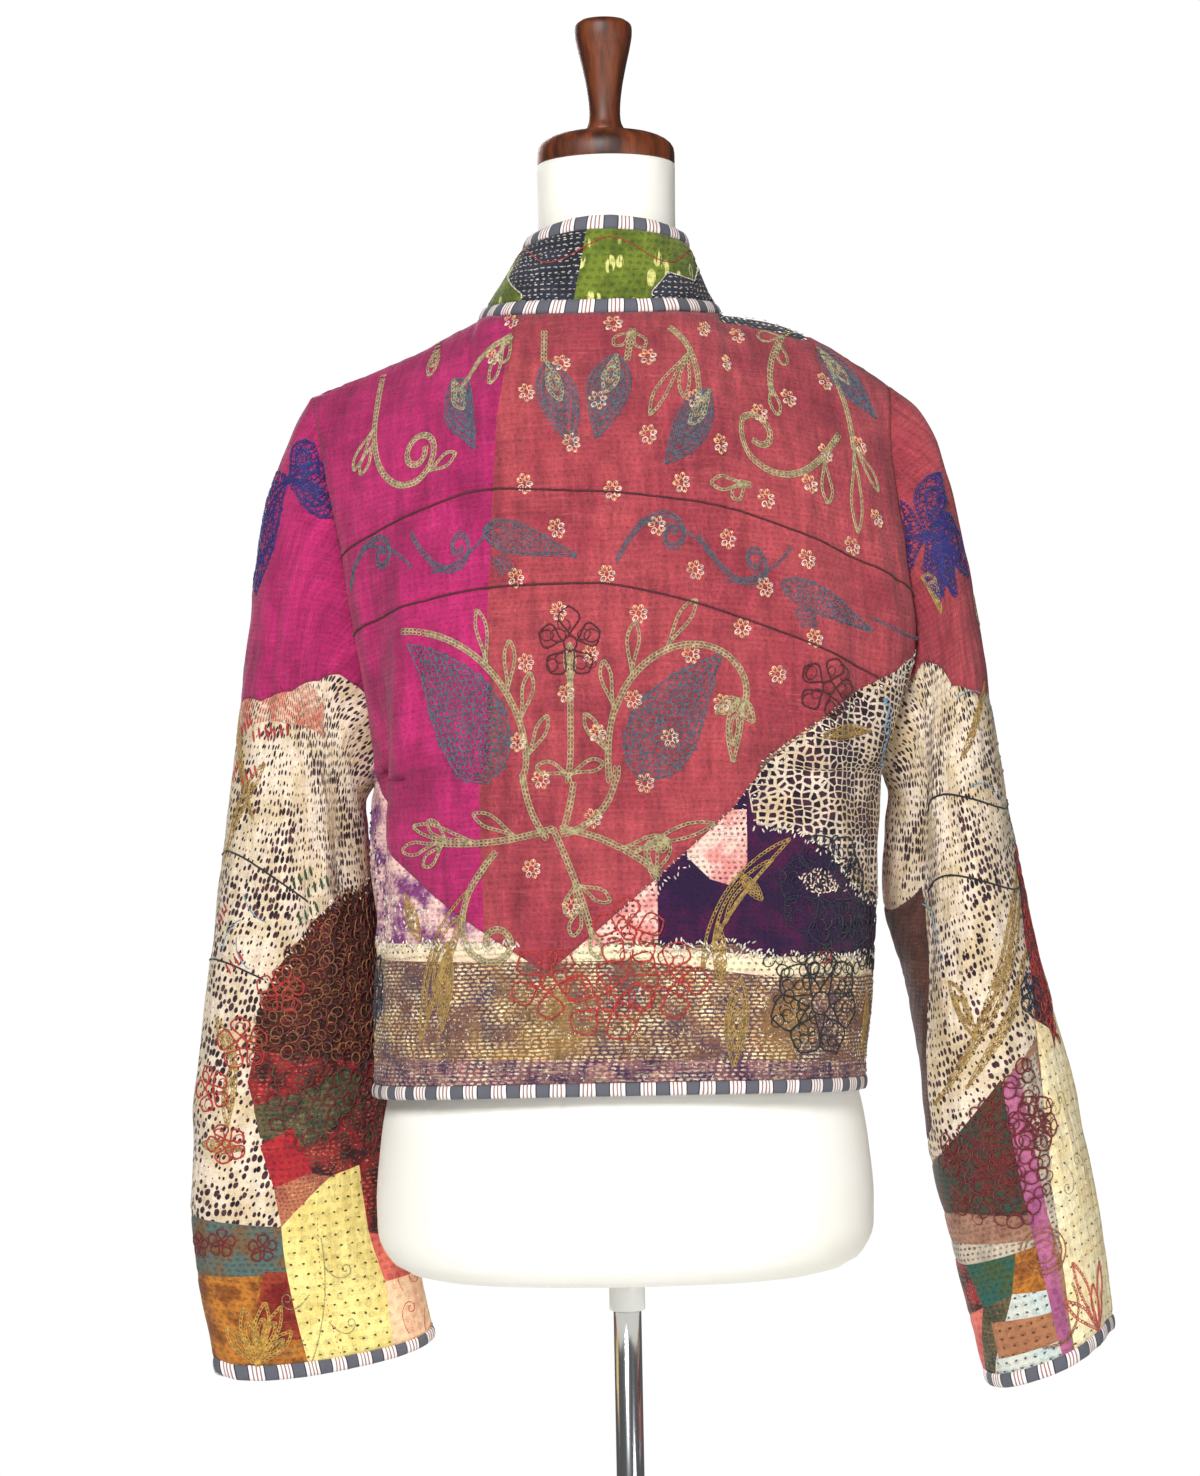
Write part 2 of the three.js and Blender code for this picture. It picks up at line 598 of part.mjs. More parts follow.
// ---- The sleeves ----
const sleeveLength = 650;
const cuffBand = bindingWidth / sleeveLength;
const aroundPlaces = steps(0, 1, 2 * facets.armhole).slice(0, -1);
const downRows = [0, 0.03, ...steps(0.07, 1 - cuffBand, facets.sleeveLength - 2)];
for (const side of ["left", "right"]) {
  const surface = sleeveSurface(side);
  const direction = directions.sleeve(side, surface);
  const shared = { facing: signOf[side], around: true };
  const options = { ...shared, folds: folds.sleeve };
  const cut = (around) => lineValue(blockSeams[side], Math.min(around, 1 - around));
  const widest = aroundPlaces.filter((around) => cut(around) > 0);
  const step = aroundPlaces[1];
  const upperPlaces = [widest[0] - step, ...widest, widest[widest.length - 1] + step];
  const upper = beforeSeam(upperPlaces, downRows, cut);
  const lower = beyondSeam(aroundPlaces, downRows, cut);
  const upperOptions = { ...options, around: false, inset: { first: false, last: false } };
  addPiece("sleeve_" + side + "_upper", wall(surface, direction, upper, upperOptions), finishes.berryCloth);
  addPiece("sleeve_" + side + "_lower", wall(surface, direction, lower, options), finishes.creamCloth);
  const cuff = grid(aroundPlaces, tapeRows(1 - cuffBand, 1));
  const cuffOptions = { ...shared, thickness: tapeThickness, inset: { high: false } };
  addPiece("cuff_binding_" + side, wall(surface, direction, cuff, cuffOptions), finishes.stripedTape);
}

// ---- The dress form ----
function formGeometry() {
  const positions = [];
  const triangles = [];
  const count = facets.form;
  const rings = formSections.length;
  formSections.forEach(({ z, halfWidth, back, front, roundness }) => {
    for (let i = 0; i < count; i++) {
      const quarters = (4 * i) / count;
      const turn = quarters % 2;
      const behind = quarters < 2;
      const depth = behind ? back : front;
      const corner = quarter(roundness, depth / halfWidth, turn <= 1 ? turn : 2 - turn);
      const right = quarters > 1 && quarters < 3;
      positions.push((right ? -1 : 1) * corner.x * halfWidth, (behind ? 1 : -1) * corner.y * depth, z);
    }
  });
  for (let j = 0; j < rings - 1; j++)
    for (let i = 0; i < count; i++) {
      const [a, b] = [j * count + i, j * count + ((i + 1) % count)];
      triangles.push(a, b, b + count, a, b + count, a + count);
    }
  const [bottom, top] = [rings * count, rings * count + 1];
  positions.push(0, 0, formSections[0].z, 0, 0, formSections[rings - 1].z);
  for (let i = 0; i < count; i++) {
    const next = (i + 1) % count;
    triangles.push(bottom, next, i, top, (rings - 1) * count + i, (rings - 1) * count + next);
  }
  const geometry = new THREE.BufferGeometry();
  geometry.setAttribute("position", new THREE.Float32BufferAttribute(positions, 3));
  geometry.setIndex(triangles);
  return geometry;
}
addPiece("form_torso", formGeometry(), finishes.canvas);

// A turned piece from its profile of [radius, height], on the Z axis.
function turned(profile) {
  const points = profile.map(([radius, height]) => new THREE.Vector2(radius, height));
  return new THREE.LatheGeometry(points, facets.lathe).rotateX(Math.PI / 2);
}

// ---- Wooden neck cap and finial ----
const domeRise = cap.height - cap.rim;
const dome = steps(0, 1, 5).map((t) => [
  mix(cap.radius, cap.finialFoot, t),
  cap.rim + domeRise * Math.sin((t * Math.PI) / 2) ** 0.9,
]);
const capProfile = [[0, 0], [cap.radius - 1.5, 0], [cap.radius, 1.5], ...dome, [0, cap.height]];
addPiece("neck_cap", turned(capProfile), finishes.wood, cap.z);
const finialProfile = [
  [0, 0],
  [13, 0],
  [13.6, 3],
  [11.6, 8],
  [11, 16],
  [12.6, 32],
  [15.8, 48],
  [19, 62],
  [20.2, 70],
  [19.6, 76],
  [16, 79],
  [0, 79.5],
];
addPiece("finial", turned(finialProfile), finishes.wood, cap.z + cap.height + seamGap);

// ---- Stand ----
const socketBottom = formSections[0].z - seamGap - stand.socketLength;
const socketProfile = [
  [0, 0],
  [stand.socketRadius - 1, 0],
  [stand.socketRadius, 1],
  [stand.socketRadius, stand.socketLength],
  [0, stand.socketLength],
];
addPiece("form_socket", turned(socketProfile), finishes.enamel, socketBottom);
const poleBottom = stand.baseHeight + stand.bossHeight + seamGap;
const poleLength = socketBottom - seamGap - poleBottom;
const poleProfile = [[0, 0], [stand.poleRadius, 0], [stand.poleRadius, poleLength], [0, poleLength]];
addPiece("pole", turned(poleProfile), finishes.chrome, poleBottom);
const baseProfile = [
  [0, 0],
  [stand.baseRadius - 2, 0],
  [stand.baseRadius, 2],
  [stand.baseRadius, stand.baseHeight - 7],
  [stand.baseRadius - 2.5, stand.baseHeight - 2.5],
  [stand.baseRadius - 8, stand.baseHeight],
  [stand.bossRadius + 4, stand.baseHeight],
  [stand.bossRadius, stand.baseHeight + 3],
  [stand.bossRadius - 3, stand.baseHeight + stand.bossHeight],
  [0, stand.baseHeight + stand.bossHeight],
];
addPiece("base", turned(baseProfile), finishes.enamel);

export default jacketOnForm;
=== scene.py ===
import math

import bmesh
import bpy
import numpy as np
from mathutils import Euler, Matrix, Vector, noise


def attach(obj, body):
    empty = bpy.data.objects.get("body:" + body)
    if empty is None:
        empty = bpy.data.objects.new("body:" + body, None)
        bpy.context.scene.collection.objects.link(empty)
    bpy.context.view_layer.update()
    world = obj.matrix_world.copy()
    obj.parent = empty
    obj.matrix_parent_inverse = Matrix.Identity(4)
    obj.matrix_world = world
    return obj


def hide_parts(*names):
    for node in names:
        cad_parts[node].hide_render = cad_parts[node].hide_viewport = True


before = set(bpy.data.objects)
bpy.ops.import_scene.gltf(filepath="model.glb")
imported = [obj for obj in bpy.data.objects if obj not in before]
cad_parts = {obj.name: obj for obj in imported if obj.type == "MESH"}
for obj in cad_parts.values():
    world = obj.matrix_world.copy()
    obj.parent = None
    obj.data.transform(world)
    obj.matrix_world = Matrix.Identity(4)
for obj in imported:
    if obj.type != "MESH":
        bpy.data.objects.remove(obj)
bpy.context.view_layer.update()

mm = 0.001
cm = 0.01

# The body from hem to shoulder, in millimetres: heights of the side seam and of the middles, half widths,
# depths of the middles, and how square the section is.
body = {
    "share": [0.0, 0.24, 0.42, 0.6, 0.74, 0.88, 1.0],
    "side": [909, 1035, 1131, 1214, 1282, 1346, 1399],
    "back": [915, 1033, 1131, 1226, 1302, 1384, 1444],
    "front": [912, 1030, 1122, 1208, 1272, 1332, 1386],
    "left": [173, 169, 167, 176, 186, 198, 208],
    "right": [168, 178, 184, 206, 201, 194, 195],
    "backY": [121, 120, 119, 118, 114, 98, 64],
    "frontY": [-126, -132, -142, -147, -136, -114, -94],
    "roundness": [2.6, 2.5, 2.5, 2.2, 2.0, 1.8, 1.7],
}
body = {name: np.array(column, float) for name, column in body.items()}

# How the body opens for the sleeves and the neck.
cut = {
    "underarm": 0.42,
    "seamDepth": -8,
    "armholeDepth": 46,
    "neckHalfWidth": 84,
    "neckShift": 6,
    "shoulderRise": 51,
    "leftPuff": -4,
    "rightPuff": 11,
    "shoulder": 0.6,
    "neck": 0.54,
    "hemOpening": 16,
    "neckOpening": 5,
    "collarGap": 0.11,
}

# Rings of the sleeves: place down the sleeve, outer line, inner line, half depth, and bulge.
sleeveRings = {
    "left": [
        (0.07, (222, -6, 1374), (181, -12, 1116), 52, 0),
        (0.16, (241, -6, 1322), (184, -24, 1090), 57, 0),
        (0.31, (257, -4, 1222), (180, -42, 1040), 57, 0),
        (0.47, (272, -4, 1110), (175, -58, 982), 51, 0),
        (0.62, (286, -6, 1000), (176, -70, 915), 44, 0),
        (0.76, (299, -10, 898), (164, -80, 850), 37, 0),
        (0.88, (302, -14, 805), (155, -86, 792), 31, 6),
        (1.0, (289, -18, 715), (143, -92, 730), 25, 12),
    ],
    "right": [
        (0.07, (-212, -6, 1382), (-194, -12, 1114), 54, 14),
        (0.16, (-228, -6, 1345), (-196, -22, 1086), 62, 12),
        (0.31, (-249, -4, 1256), (-194, -36, 1036), 69, 6),
        (0.47, (-267, -4, 1138), (-203, -42, 984), 69, 0),
        (0.62, (-288, -4, 1008), (-215, -46, 924), 66, 0),
        (0.76, (-312, -6, 900), (-225, -48, 856), 64, 0),
        (0.88, (-328, -8, 810), (-242, -48, 780), 61, 3),
        (1.0, (-337, -10, 731), (-259, -44, 703), 57, 6),
    ],
}
sleeveRoundness = 2.3

# The collar above its seam: share, half width, depths behind and before, heights behind, beside and before.
collarRings = [(0.55, 66, 58, -80, 1482, 1481, 1418), (1.0, 53.5, 53, -68, 1513, 1506, 1440)]

signOf = {"left": 1.0, "right": -1.0}


def clamp(x):
    return np.clip(x, 0.0, 1.0)


def smooth(x):
    x = clamp(x)
    return x * x * (3 - 2 * x)


def mix(a, b, t):
    return a + (b - a) * t


def unit(v):
    return v / np.maximum(np.linalg.norm(v, axis=-1, keepdims=True), 1e-12)


def dot(a, b):
    return (a * b).sum(-1, keepdims=True)


# How far along a line each of its points is.
def lengthsAlong(line):
    return np.concatenate([[0], np.cumsum(np.linalg.norm(np.diff(line, axis=0), axis=1))])


def pairs(x, y):
    return np.stack([x, y], -1)


def points(x, y, z):
    return np.stack(np.broadcast_arrays(x, y, z), -1).astype(float)


# The value at a place on the smooth curve through some rows.
def throughRows(xs, ys, at):
    tall = (-1,) + (1,) * (ys.ndim - 1)
    slopes = np.diff(ys, axis=0) / np.diff(xs).reshape(tall)
    tangents = np.concatenate([slopes[:1], (slopes[1:] + slopes[:-1]) / 2, slopes[-1:]])
    i = np.clip(np.searchsorted(xs, at, side="right") - 1, 0, len(xs) - 2)
    here = (i,) if ys.ndim == 1 else (i, np.arange(len(at)))
    there = (i + 1,) + here[1:]
    step = (xs[i + 1] - xs[i]).reshape((len(i),) + (1,) * max(0, ys.ndim - 2))
    t = (at - xs[i]).reshape(step.shape) / step
    return (
        ys[here] * (2 * t**3 - 3 * t**2 + 1)
        + tangents[here] * step * (t**3 - 2 * t**2 + t)
        + ys[there] * (3 * t**2 - 2 * t**3)
        + tangents[there] * step * (t**3 - t**2)
    )


# Places along a quarter of a rounded section, from the side to the middle, come from a table of evenly spaced
# ones, by how round and how flat the section is.
corner = {"rounds": np.linspace(1.6, 2.7, 12), "flats": np.linspace(0.15, 1.5, 16), "steps": 48}


def superellipse(t, roundness):
    angle = clamp(t) * math.pi / 2
    power = 2 / roundness
    return np.maximum(0, np.cos(angle)) ** power, np.maximum(0, np.sin(angle)) ** power


def evenlySpaced(xs, ys, count):
    lengths = np.concatenate([[0], np.cumsum(np.hypot(np.diff(xs), np.diff(ys)))])
    return np.interp(np.linspace(0, lengths[-1], count + 1), lengths, np.linspace(0, 1, len(xs)))


fine = np.linspace(0, 1, 601)
cornerTable = np.array(
    [
        [evenlySpaced(x, flat * y, corner["steps"]) for flat in corner["flats"]]
        for x, y in (superellipse(fine, roundness) for roundness in corner["rounds"])
    ]
)


def quarter(roundness, flatness, share):
    places = []
    for value, axis in ((roundness, corner["rounds"]), (flatness, corner["flats"])):
        places.append((value - axis[0]) / (axis[1] - axis[0]))
    places.append(clamp(share) * corner["steps"])
    places = np.broadcast_arrays(*places)
    sizes = cornerTable.shape
    low = [np.clip(np.floor(place).astype(int), 0, size - 2) for place, size in zip(places, sizes)]
    over = [clamp(place - floor) for place, floor in zip(places, low)]
    t = 0
    for number in range(8):
        bits = [number >> axis & 1 for axis in range(3)]
        weight = 1
        for bit, part in zip(bits, over):
            weight = weight * (part if bit else 1 - part)
        t = t + weight * cornerTable[tuple(floor + bit for floor, bit in zip(low, bits))]
    return superellipse(t, roundness)


def column(name, share):
    return throughRows(body["share"], body[name], share)


# The edge of a panel: side seam, then armhole, up to the shoulder tip.
def panelEdge(sign, half, share):
    opened = clamp((share - cut["underarm"]) / (1 - cut["underarm"]))
    reach = np.maximum(0, 1 - (2 * opened - 1) ** 2) ** 0.4
    width = np.where(sign > 0, column("left", share), column("right", share))
    depth = cut["armholeDepth"] * (1 if half == "back" else -1)
    return points(sign * width, cut["seamDepth"] + depth * reach, column("side", share))


# Half a panel of the body: place runs from the side, 0, to the middle, 1.
def halfPanel(sign, half, place, share):
    sign, place, share = np.broadcast_arrays(np.asarray(sign, float), place, share)
    edge = panelEdge(sign, half, share)
    gap = mix(cut["hemOpening"], cut["neckOpening"], share) if half == "front" else 0
    top = clamp((share - cut["shoulder"]) / (1 - cut["shoulder"]))
    middleX = sign * gap + cut["neckShift"] * smooth(top)
    middle = points(middleX, column(half + "Y", share), column(half, share))
    reach = middle - edge
    across, up = quarter(column("roundness", share), np.abs(reach[:, 1] / reach[:, 0]), place)
    seam = clamp(place / cut["neck"])
    turn = clamp((place - cut["neck"]) / (1 - cut["neck"])) * math.pi / 2
    neckPoint = (cut["neckShift"] + sign * cut["neckHalfWidth"] - middle[:, 0]) / (edge[:, 0] - middle[:, 0])
    neckWay = np.sin(turn) ** 2 if half == "back" else 1 - np.maximum(0, np.cos(turn)) ** 1.3
    onSeam = place < cut["neck"]
    topX = np.where(onSeam, mix(1, neckPoint, seam), neckPoint * np.cos(turn))
    rise = np.where(
        onSeam, cut["shoulderRise"] * seam, mix(cut["shoulderRise"], middle[:, 2] - edge[:, 2], neckWay)
    )
    rise += np.where(sign > 0, cut["leftPuff"], cut["rightPuff"]) * np.sin(seam * math.pi)
    weight = top**1.6
    rounding = 1 - np.sqrt(np.maximum(0, 1 - weight**2.4))
    return points(
        mix(middle[:, 0], edge[:, 0], mix(across, topX, weight)),
        mix(edge[:, 1], middle[:, 1], mix(up, np.sin(turn), rounding)),
        mix(mix(edge[:, 2], middle[:, 2], up**2), edge[:, 2] + rise, weight),
    )


def sideOf(across):
    return np.where(across <= 0.5, 1.0, -1.0)


def backSurface(across, share):
    return halfPanel(sideOf(across), "back", 2 * np.minimum(across, 1 - across), share)


def frontSurface(side):
    return lambda across, share: halfPanel(signOf[side], "front", across, share)


def neckline(across):
    sign = sideOf(across)
    quarters = 4 * np.minimum(across, 1 - across)
    top = np.ones_like(across)
    before = halfPanel(sign, "front", mix(1, cut["neck"], clamp(quarters)), top)
    behind = halfPanel(sign, "back", mix(cut["neck"], 1, clamp(quarters - 1)), top)
    return np.where((quarters <= 1)[:, None], before, behind)


def collarSurface(across, share):
    angle = (1 - 2 * across) * (math.pi - cut["collarGap"])
    way = np.abs(np.cos(angle))
    isBehind = np.cos(angle) > 0
    rings = []
    for ringShare, halfWidth, backY, frontY, backZ, sideZ, frontZ in collarRings:
        x = np.sin(angle) * halfWidth + cut["neckShift"] * (1 - ringShare)
        y = way * np.where(isBehind, backY, frontY)
        rings.append(points(x, y, mix(sideZ, np.where(isBehind, backZ, frontZ), way**2)))
    bend = collarRings[0][0]
    share = share[:, None]
    return (
        neckline(across) * (share - bend) * (share - 1) / bend
        + rings[0] * share * (share - 1) / (bend * (bend - 1))
        + rings[1] * share * (share - bend) / (1 - bend)
    )


armholeWay = panelEdge(np.ones(601), "back", mix(cut["underarm"], 1, fine))
armholeLength = lengthsAlong(armholeWay)
armholeLength /= armholeLength[-1]


def armholePoint(side, around):
    way = 2 * np.minimum(around, 1 - around)
    share = mix(cut["underarm"], 1, np.interp(way, armholeLength, fine))
    sign = np.full_like(around, signOf[side])
    behind, before = (panelEdge(sign, half, share) for half in ("back", "front"))
    return np.where((around <= 0.5)[:, None], behind, before)


def ringPoint(row, around):
    share, outer, inner, half, bulge = row
    outer, inner = np.array(outer, float), np.array(inner, float)
    middle = (outer + inner) / 2
    halfWidth = np.linalg.norm(outer - middle)
    across = (outer - middle) / halfWidth
    behind = unit(np.array([0, 1.0, 0]) - across * across[1])
    along = np.cross(behind, across)
    if along @ np.array([math.copysign(1, middle[0]), 0, -1]) < 0:
        along = -along
    quarters = 4 * np.minimum(around, 1 - around)
    x, y = quarter(sleeveRoundness, half / halfWidth, np.where(quarters <= 1, quarters, 2 - quarters))
    x = np.where(quarters <= 1, -x, x)[:, None] * halfWidth
    y = y[:, None]
    return middle + across * x + behind * sideOf(around)[:, None] * y * half + along * y * bulge


def sleeveSurface(side):
    shares = np.array([0] + [row[0] for row in sleeveRings[side]])

    def surface(around, down):
        around = around % 1
        rings = [armholePoint(side, around)] + [ringPoint(row, around) for row in sleeveRings[side]]
        return throughRows(shares, np.array(rings), down)

    return surface


def outwards(surface, across, up, facing, wraps=False):
    step = 0.003
    ahead, behind = (across + step, across - step) if wraps else (clamp(across + step), clamp(across - step))
    alongAcross = surface(ahead, up) - surface(behind, up)
    alongUp = surface(across, clamp(up + step)) - surface(across, clamp(up - step))
    return unit(np.cross(alongAcross, alongUp)) * facing


# Near a seam both pieces turn to one shared direction, so that their edges stay together. These are the
# shares of a piece over which they turn.
turning = {"topFrom": 0.965, "top": 0.035, "neck": 0.12, "underarm": 0.03, "armhole": 0.07}
turning.update(sleeve=0.04, collar=0.2)


def leaning(shared, straight, weight):
    shared = shared / np.maximum(0.6, dot(shared, straight))
    weight = weight[:, None]
    return straight * (1 - weight) + shared * weight


def armholeDirection(side, place):
    low, high = armholePoint(side, np.array([0.0, 0.5]))[:, 2]
    rise = 2 * (place[:, 2] - low) / (high - low) - 1
    depth = (place[:, 1] - cut["seamDepth"]) / cut["armholeDepth"]
    return unit(points(signOf[side] * 0.55, depth, rise))


def neckDirection(place):
    out = unit(points(place[:, 0] - cut["neckShift"], place[:, 1] - cut["seamDepth"], 0.0))
    out[:, 2] = 0.7
    return unit(out)


def panelDirection(surface, facing):
    def direction(across, share):
        place = surface(across, share)
        straight = outwards(surface, across, share, facing(across))
        side, way = sideAndPlace(surface, across)
        ridge = unit(points(side * 0.4, 0.0, 1.0))
        nearNeck = smooth((way - cut["neck"] + turning["neck"]) / turning["neck"])
        nearTop = smooth((share - turning["topFrom"]) / turning["top"])
        top = mix(ridge, neckDirection(place), nearNeck[:, None])
        result = leaning(unit(top), straight, nearTop)
        opened = smooth((share - cut["underarm"] + turning["underarm"]) / turning["underarm"])
        nearEdge = smooth(1 - way / turning["armhole"]) * opened * (1 - nearTop)
        isLeft = (side > 0)[:, None]
        hole = np.where(isLeft, armholeDirection("left", place), armholeDirection("right", place))
        return leaning(hole, result, nearEdge)

    return direction


def sideAndPlace(surface, across):
    if surface is backSurface:
        return sideOf(across), 2 * np.minimum(across, 1 - across)
    return np.full_like(across, 1.0 if surface is frontSurfaces["left"] else -1.0), across


def sleeveDirection(side, surface):
    def direction(around, down):
        straight = outwards(surface, around, down, signOf[side], wraps=True)
        shared = armholeDirection(side, surface(around, down))
        return leaning(shared, straight, smooth(1 - down / turning["sleeve"]))

    return direction


def collarDirection(across, share):
    straight = outwards(collarSurface, across, share, 1)
    shared = neckDirection(collarSurface(across, share))
    return leaning(shared, straight, smooth(1 - share / turning["collar"]))


frontSurfaces = {side: frontSurface(side) for side in signOf}
sleeveSurfaces = {side: sleeveSurface(side) for side in signOf}

# Folds: place across at the lower and the upper end, from and to on the way up, width, and depth in mm.
folds = {
    "back": [
        (0.07, 0.1, 0.1, 0.78, 0.045, -9),
        (0.13, 0.16, 0.08, 0.8, 0.04, 5),
        (0.85, 0.87, 0.3, 0.85, 0.04, -6),
        (0.79, 0.8, 0.12, 0.7, 0.05, 4),
        (0.45, 0.42, 0.04, 0.4, 0.05, -3),
        (0.0, 0.0, 0.23, 0.46, 0.05, 6.5),
    ],
    "left": [
        (0.3, 0.36, 0.05, 0.75, 0.08, -6),
        (0.62, 0.55, 0.02, 0.62, 0.09, 5),
        (0.0, 0.0, 0.23, 0.46, 0.1, 6.5),
    ],
    "right": [
        (0.28, 0.32, 0.05, 0.75, 0.08, -5),
        (0.64, 0.6, 0.02, 0.6, 0.08, 5),
        (0.27, 0.27, 0.78, 1, 0.2, 13),
    ],
    "sleeve": [
        (0.1, 0.16, 0.1, 0.6, 0.05, -9),
        (0.32, 0.3, 0.3, 0.95, 0.06, 4),
        (0.7, 0.72, 0.12, 0.7, 0.06, -7),
        (0.0, 0.0, 0.0, 0.44, 0.09, 7),
        (1.0, 1.0, 0.0, 0.44, 0.09, 7),
    ],
}

# Finer creases of the worn cloth, in the same columns.
creases = {
    "back": [
        (0.42, 0.43, 0.66, 0.98, 0.006, -1.3), (0.455, 0.45, 0.7, 0.94, 0.005, -0.9),
        (0.545, 0.545, 0.03, 0.34, 0.006, -1.6), (0.37, 0.34, 0.48, 0.86, 0.007, -1.1),
        (0.3, 0.27, 0.2, 0.62, 0.008, 1.0), (0.66, 0.69, 0.5, 0.92, 0.007, -1.3),
        (0.74, 0.72, 0.42, 0.8, 0.008, -1.2), (0.17, 0.22, 0.3, 0.9, 0.009, -1.6),
        (0.04, 0.06, 0.12, 0.5, 0.012, 2.2), (0.91, 0.9, 0.1, 0.44, 0.014, -2.6),
        (0.95, 0.94, 0.5, 0.86, 0.012, -2.4), (0.6, 0.62, 0.02, 0.2, 0.01, -1.2),
        (0.25, 0.24, 0.01, 0.16, 0.01, -1.3),
    ],
    "front": [
        (0.2, 0.16, 0.3, 0.8, 0.02, -2.2), (0.45, 0.48, 0.5, 0.95, 0.015, -1.4),
        (0.76, 0.78, 0.1, 0.5, 0.015, -1.4), (0.52, 0.5, 0.02, 0.3, 0.015, 1.3),
        (0.1, 0.12, 0.05, 0.45, 0.02, 2.0),
    ],
    "left": [
        (0.2, 0.28, 0.3, 0.52, 0.016, -2.6), (0.28, 0.22, 0.36, 0.6, 0.014, -2.0),
        (0.12, 0.3, 0.52, 0.74, 0.018, -3.0), (0.4, 0.26, 0.6, 0.82, 0.016, -2.2),
        (0.36, 0.38, 0.08, 0.4, 0.012, -2.0), (0.24, 0.2, 0.78, 0.98, 0.014, -1.6),
        (0.62, 0.74, 0.34, 0.6, 0.02, -2.6), (0.85, 0.7, 0.5, 0.78, 0.02, -2.4),
        (0.78, 0.8, 0.7, 0.97, 0.018, 1.8),
    ],
    "right": [
        (0.22, 0.3, 0.28, 0.5, 0.014, -1.8), (0.34, 0.3, 0.4, 0.72, 0.013, -1.6),
        (0.4, 0.42, 0.05, 0.36, 0.012, -1.8), (0.18, 0.22, 0.56, 0.9, 0.014, -1.6),
        (0.3, 0.36, 0.74, 0.98, 0.013, -1.4), (0.64, 0.7, 0.3, 0.62, 0.02, -2.4),
        (0.84, 0.76, 0.46, 0.8, 0.02, -2.2),
    ],
}


def foldDepth(rows, across, up):
    total = np.zeros_like(across)
    for at, atTop, start, end, width, depth in rows:
        along = (up - start) / (end - start)
        inside = (along > 0) & (along < 1)
        middle = mix(at, atTop, along)
        wave = depth * np.sin(math.pi * clamp(along)) * np.exp(-(((across - middle) / width) ** 2))
        total += np.where(inside, wave, 0)
    return total


# Where the upper block of a piece meets the lower one, as places across and up, or around and down.
blockSeams = {
    "back": [
        (0, 0.46), (0.1, 0.35), (0.4, 0.17), (0.5, 0.25), (0.65, 0.37), (0.7, 0.43), (0.85, 0.52), (1, 0.6),
    ],
    "left": [(0, 0), (0.125, 0), (0.17, 0.05), (0.21, 0.12), (0.3, 0.23), (0.4, 0.32), (0.5, 0.37)],
    "right": [(0, 0), (0.125, 0), (0.17, 0.05), (0.21, 0.12), (0.3, 0.27), (0.4, 0.38), (0.5, 0.42)],
}


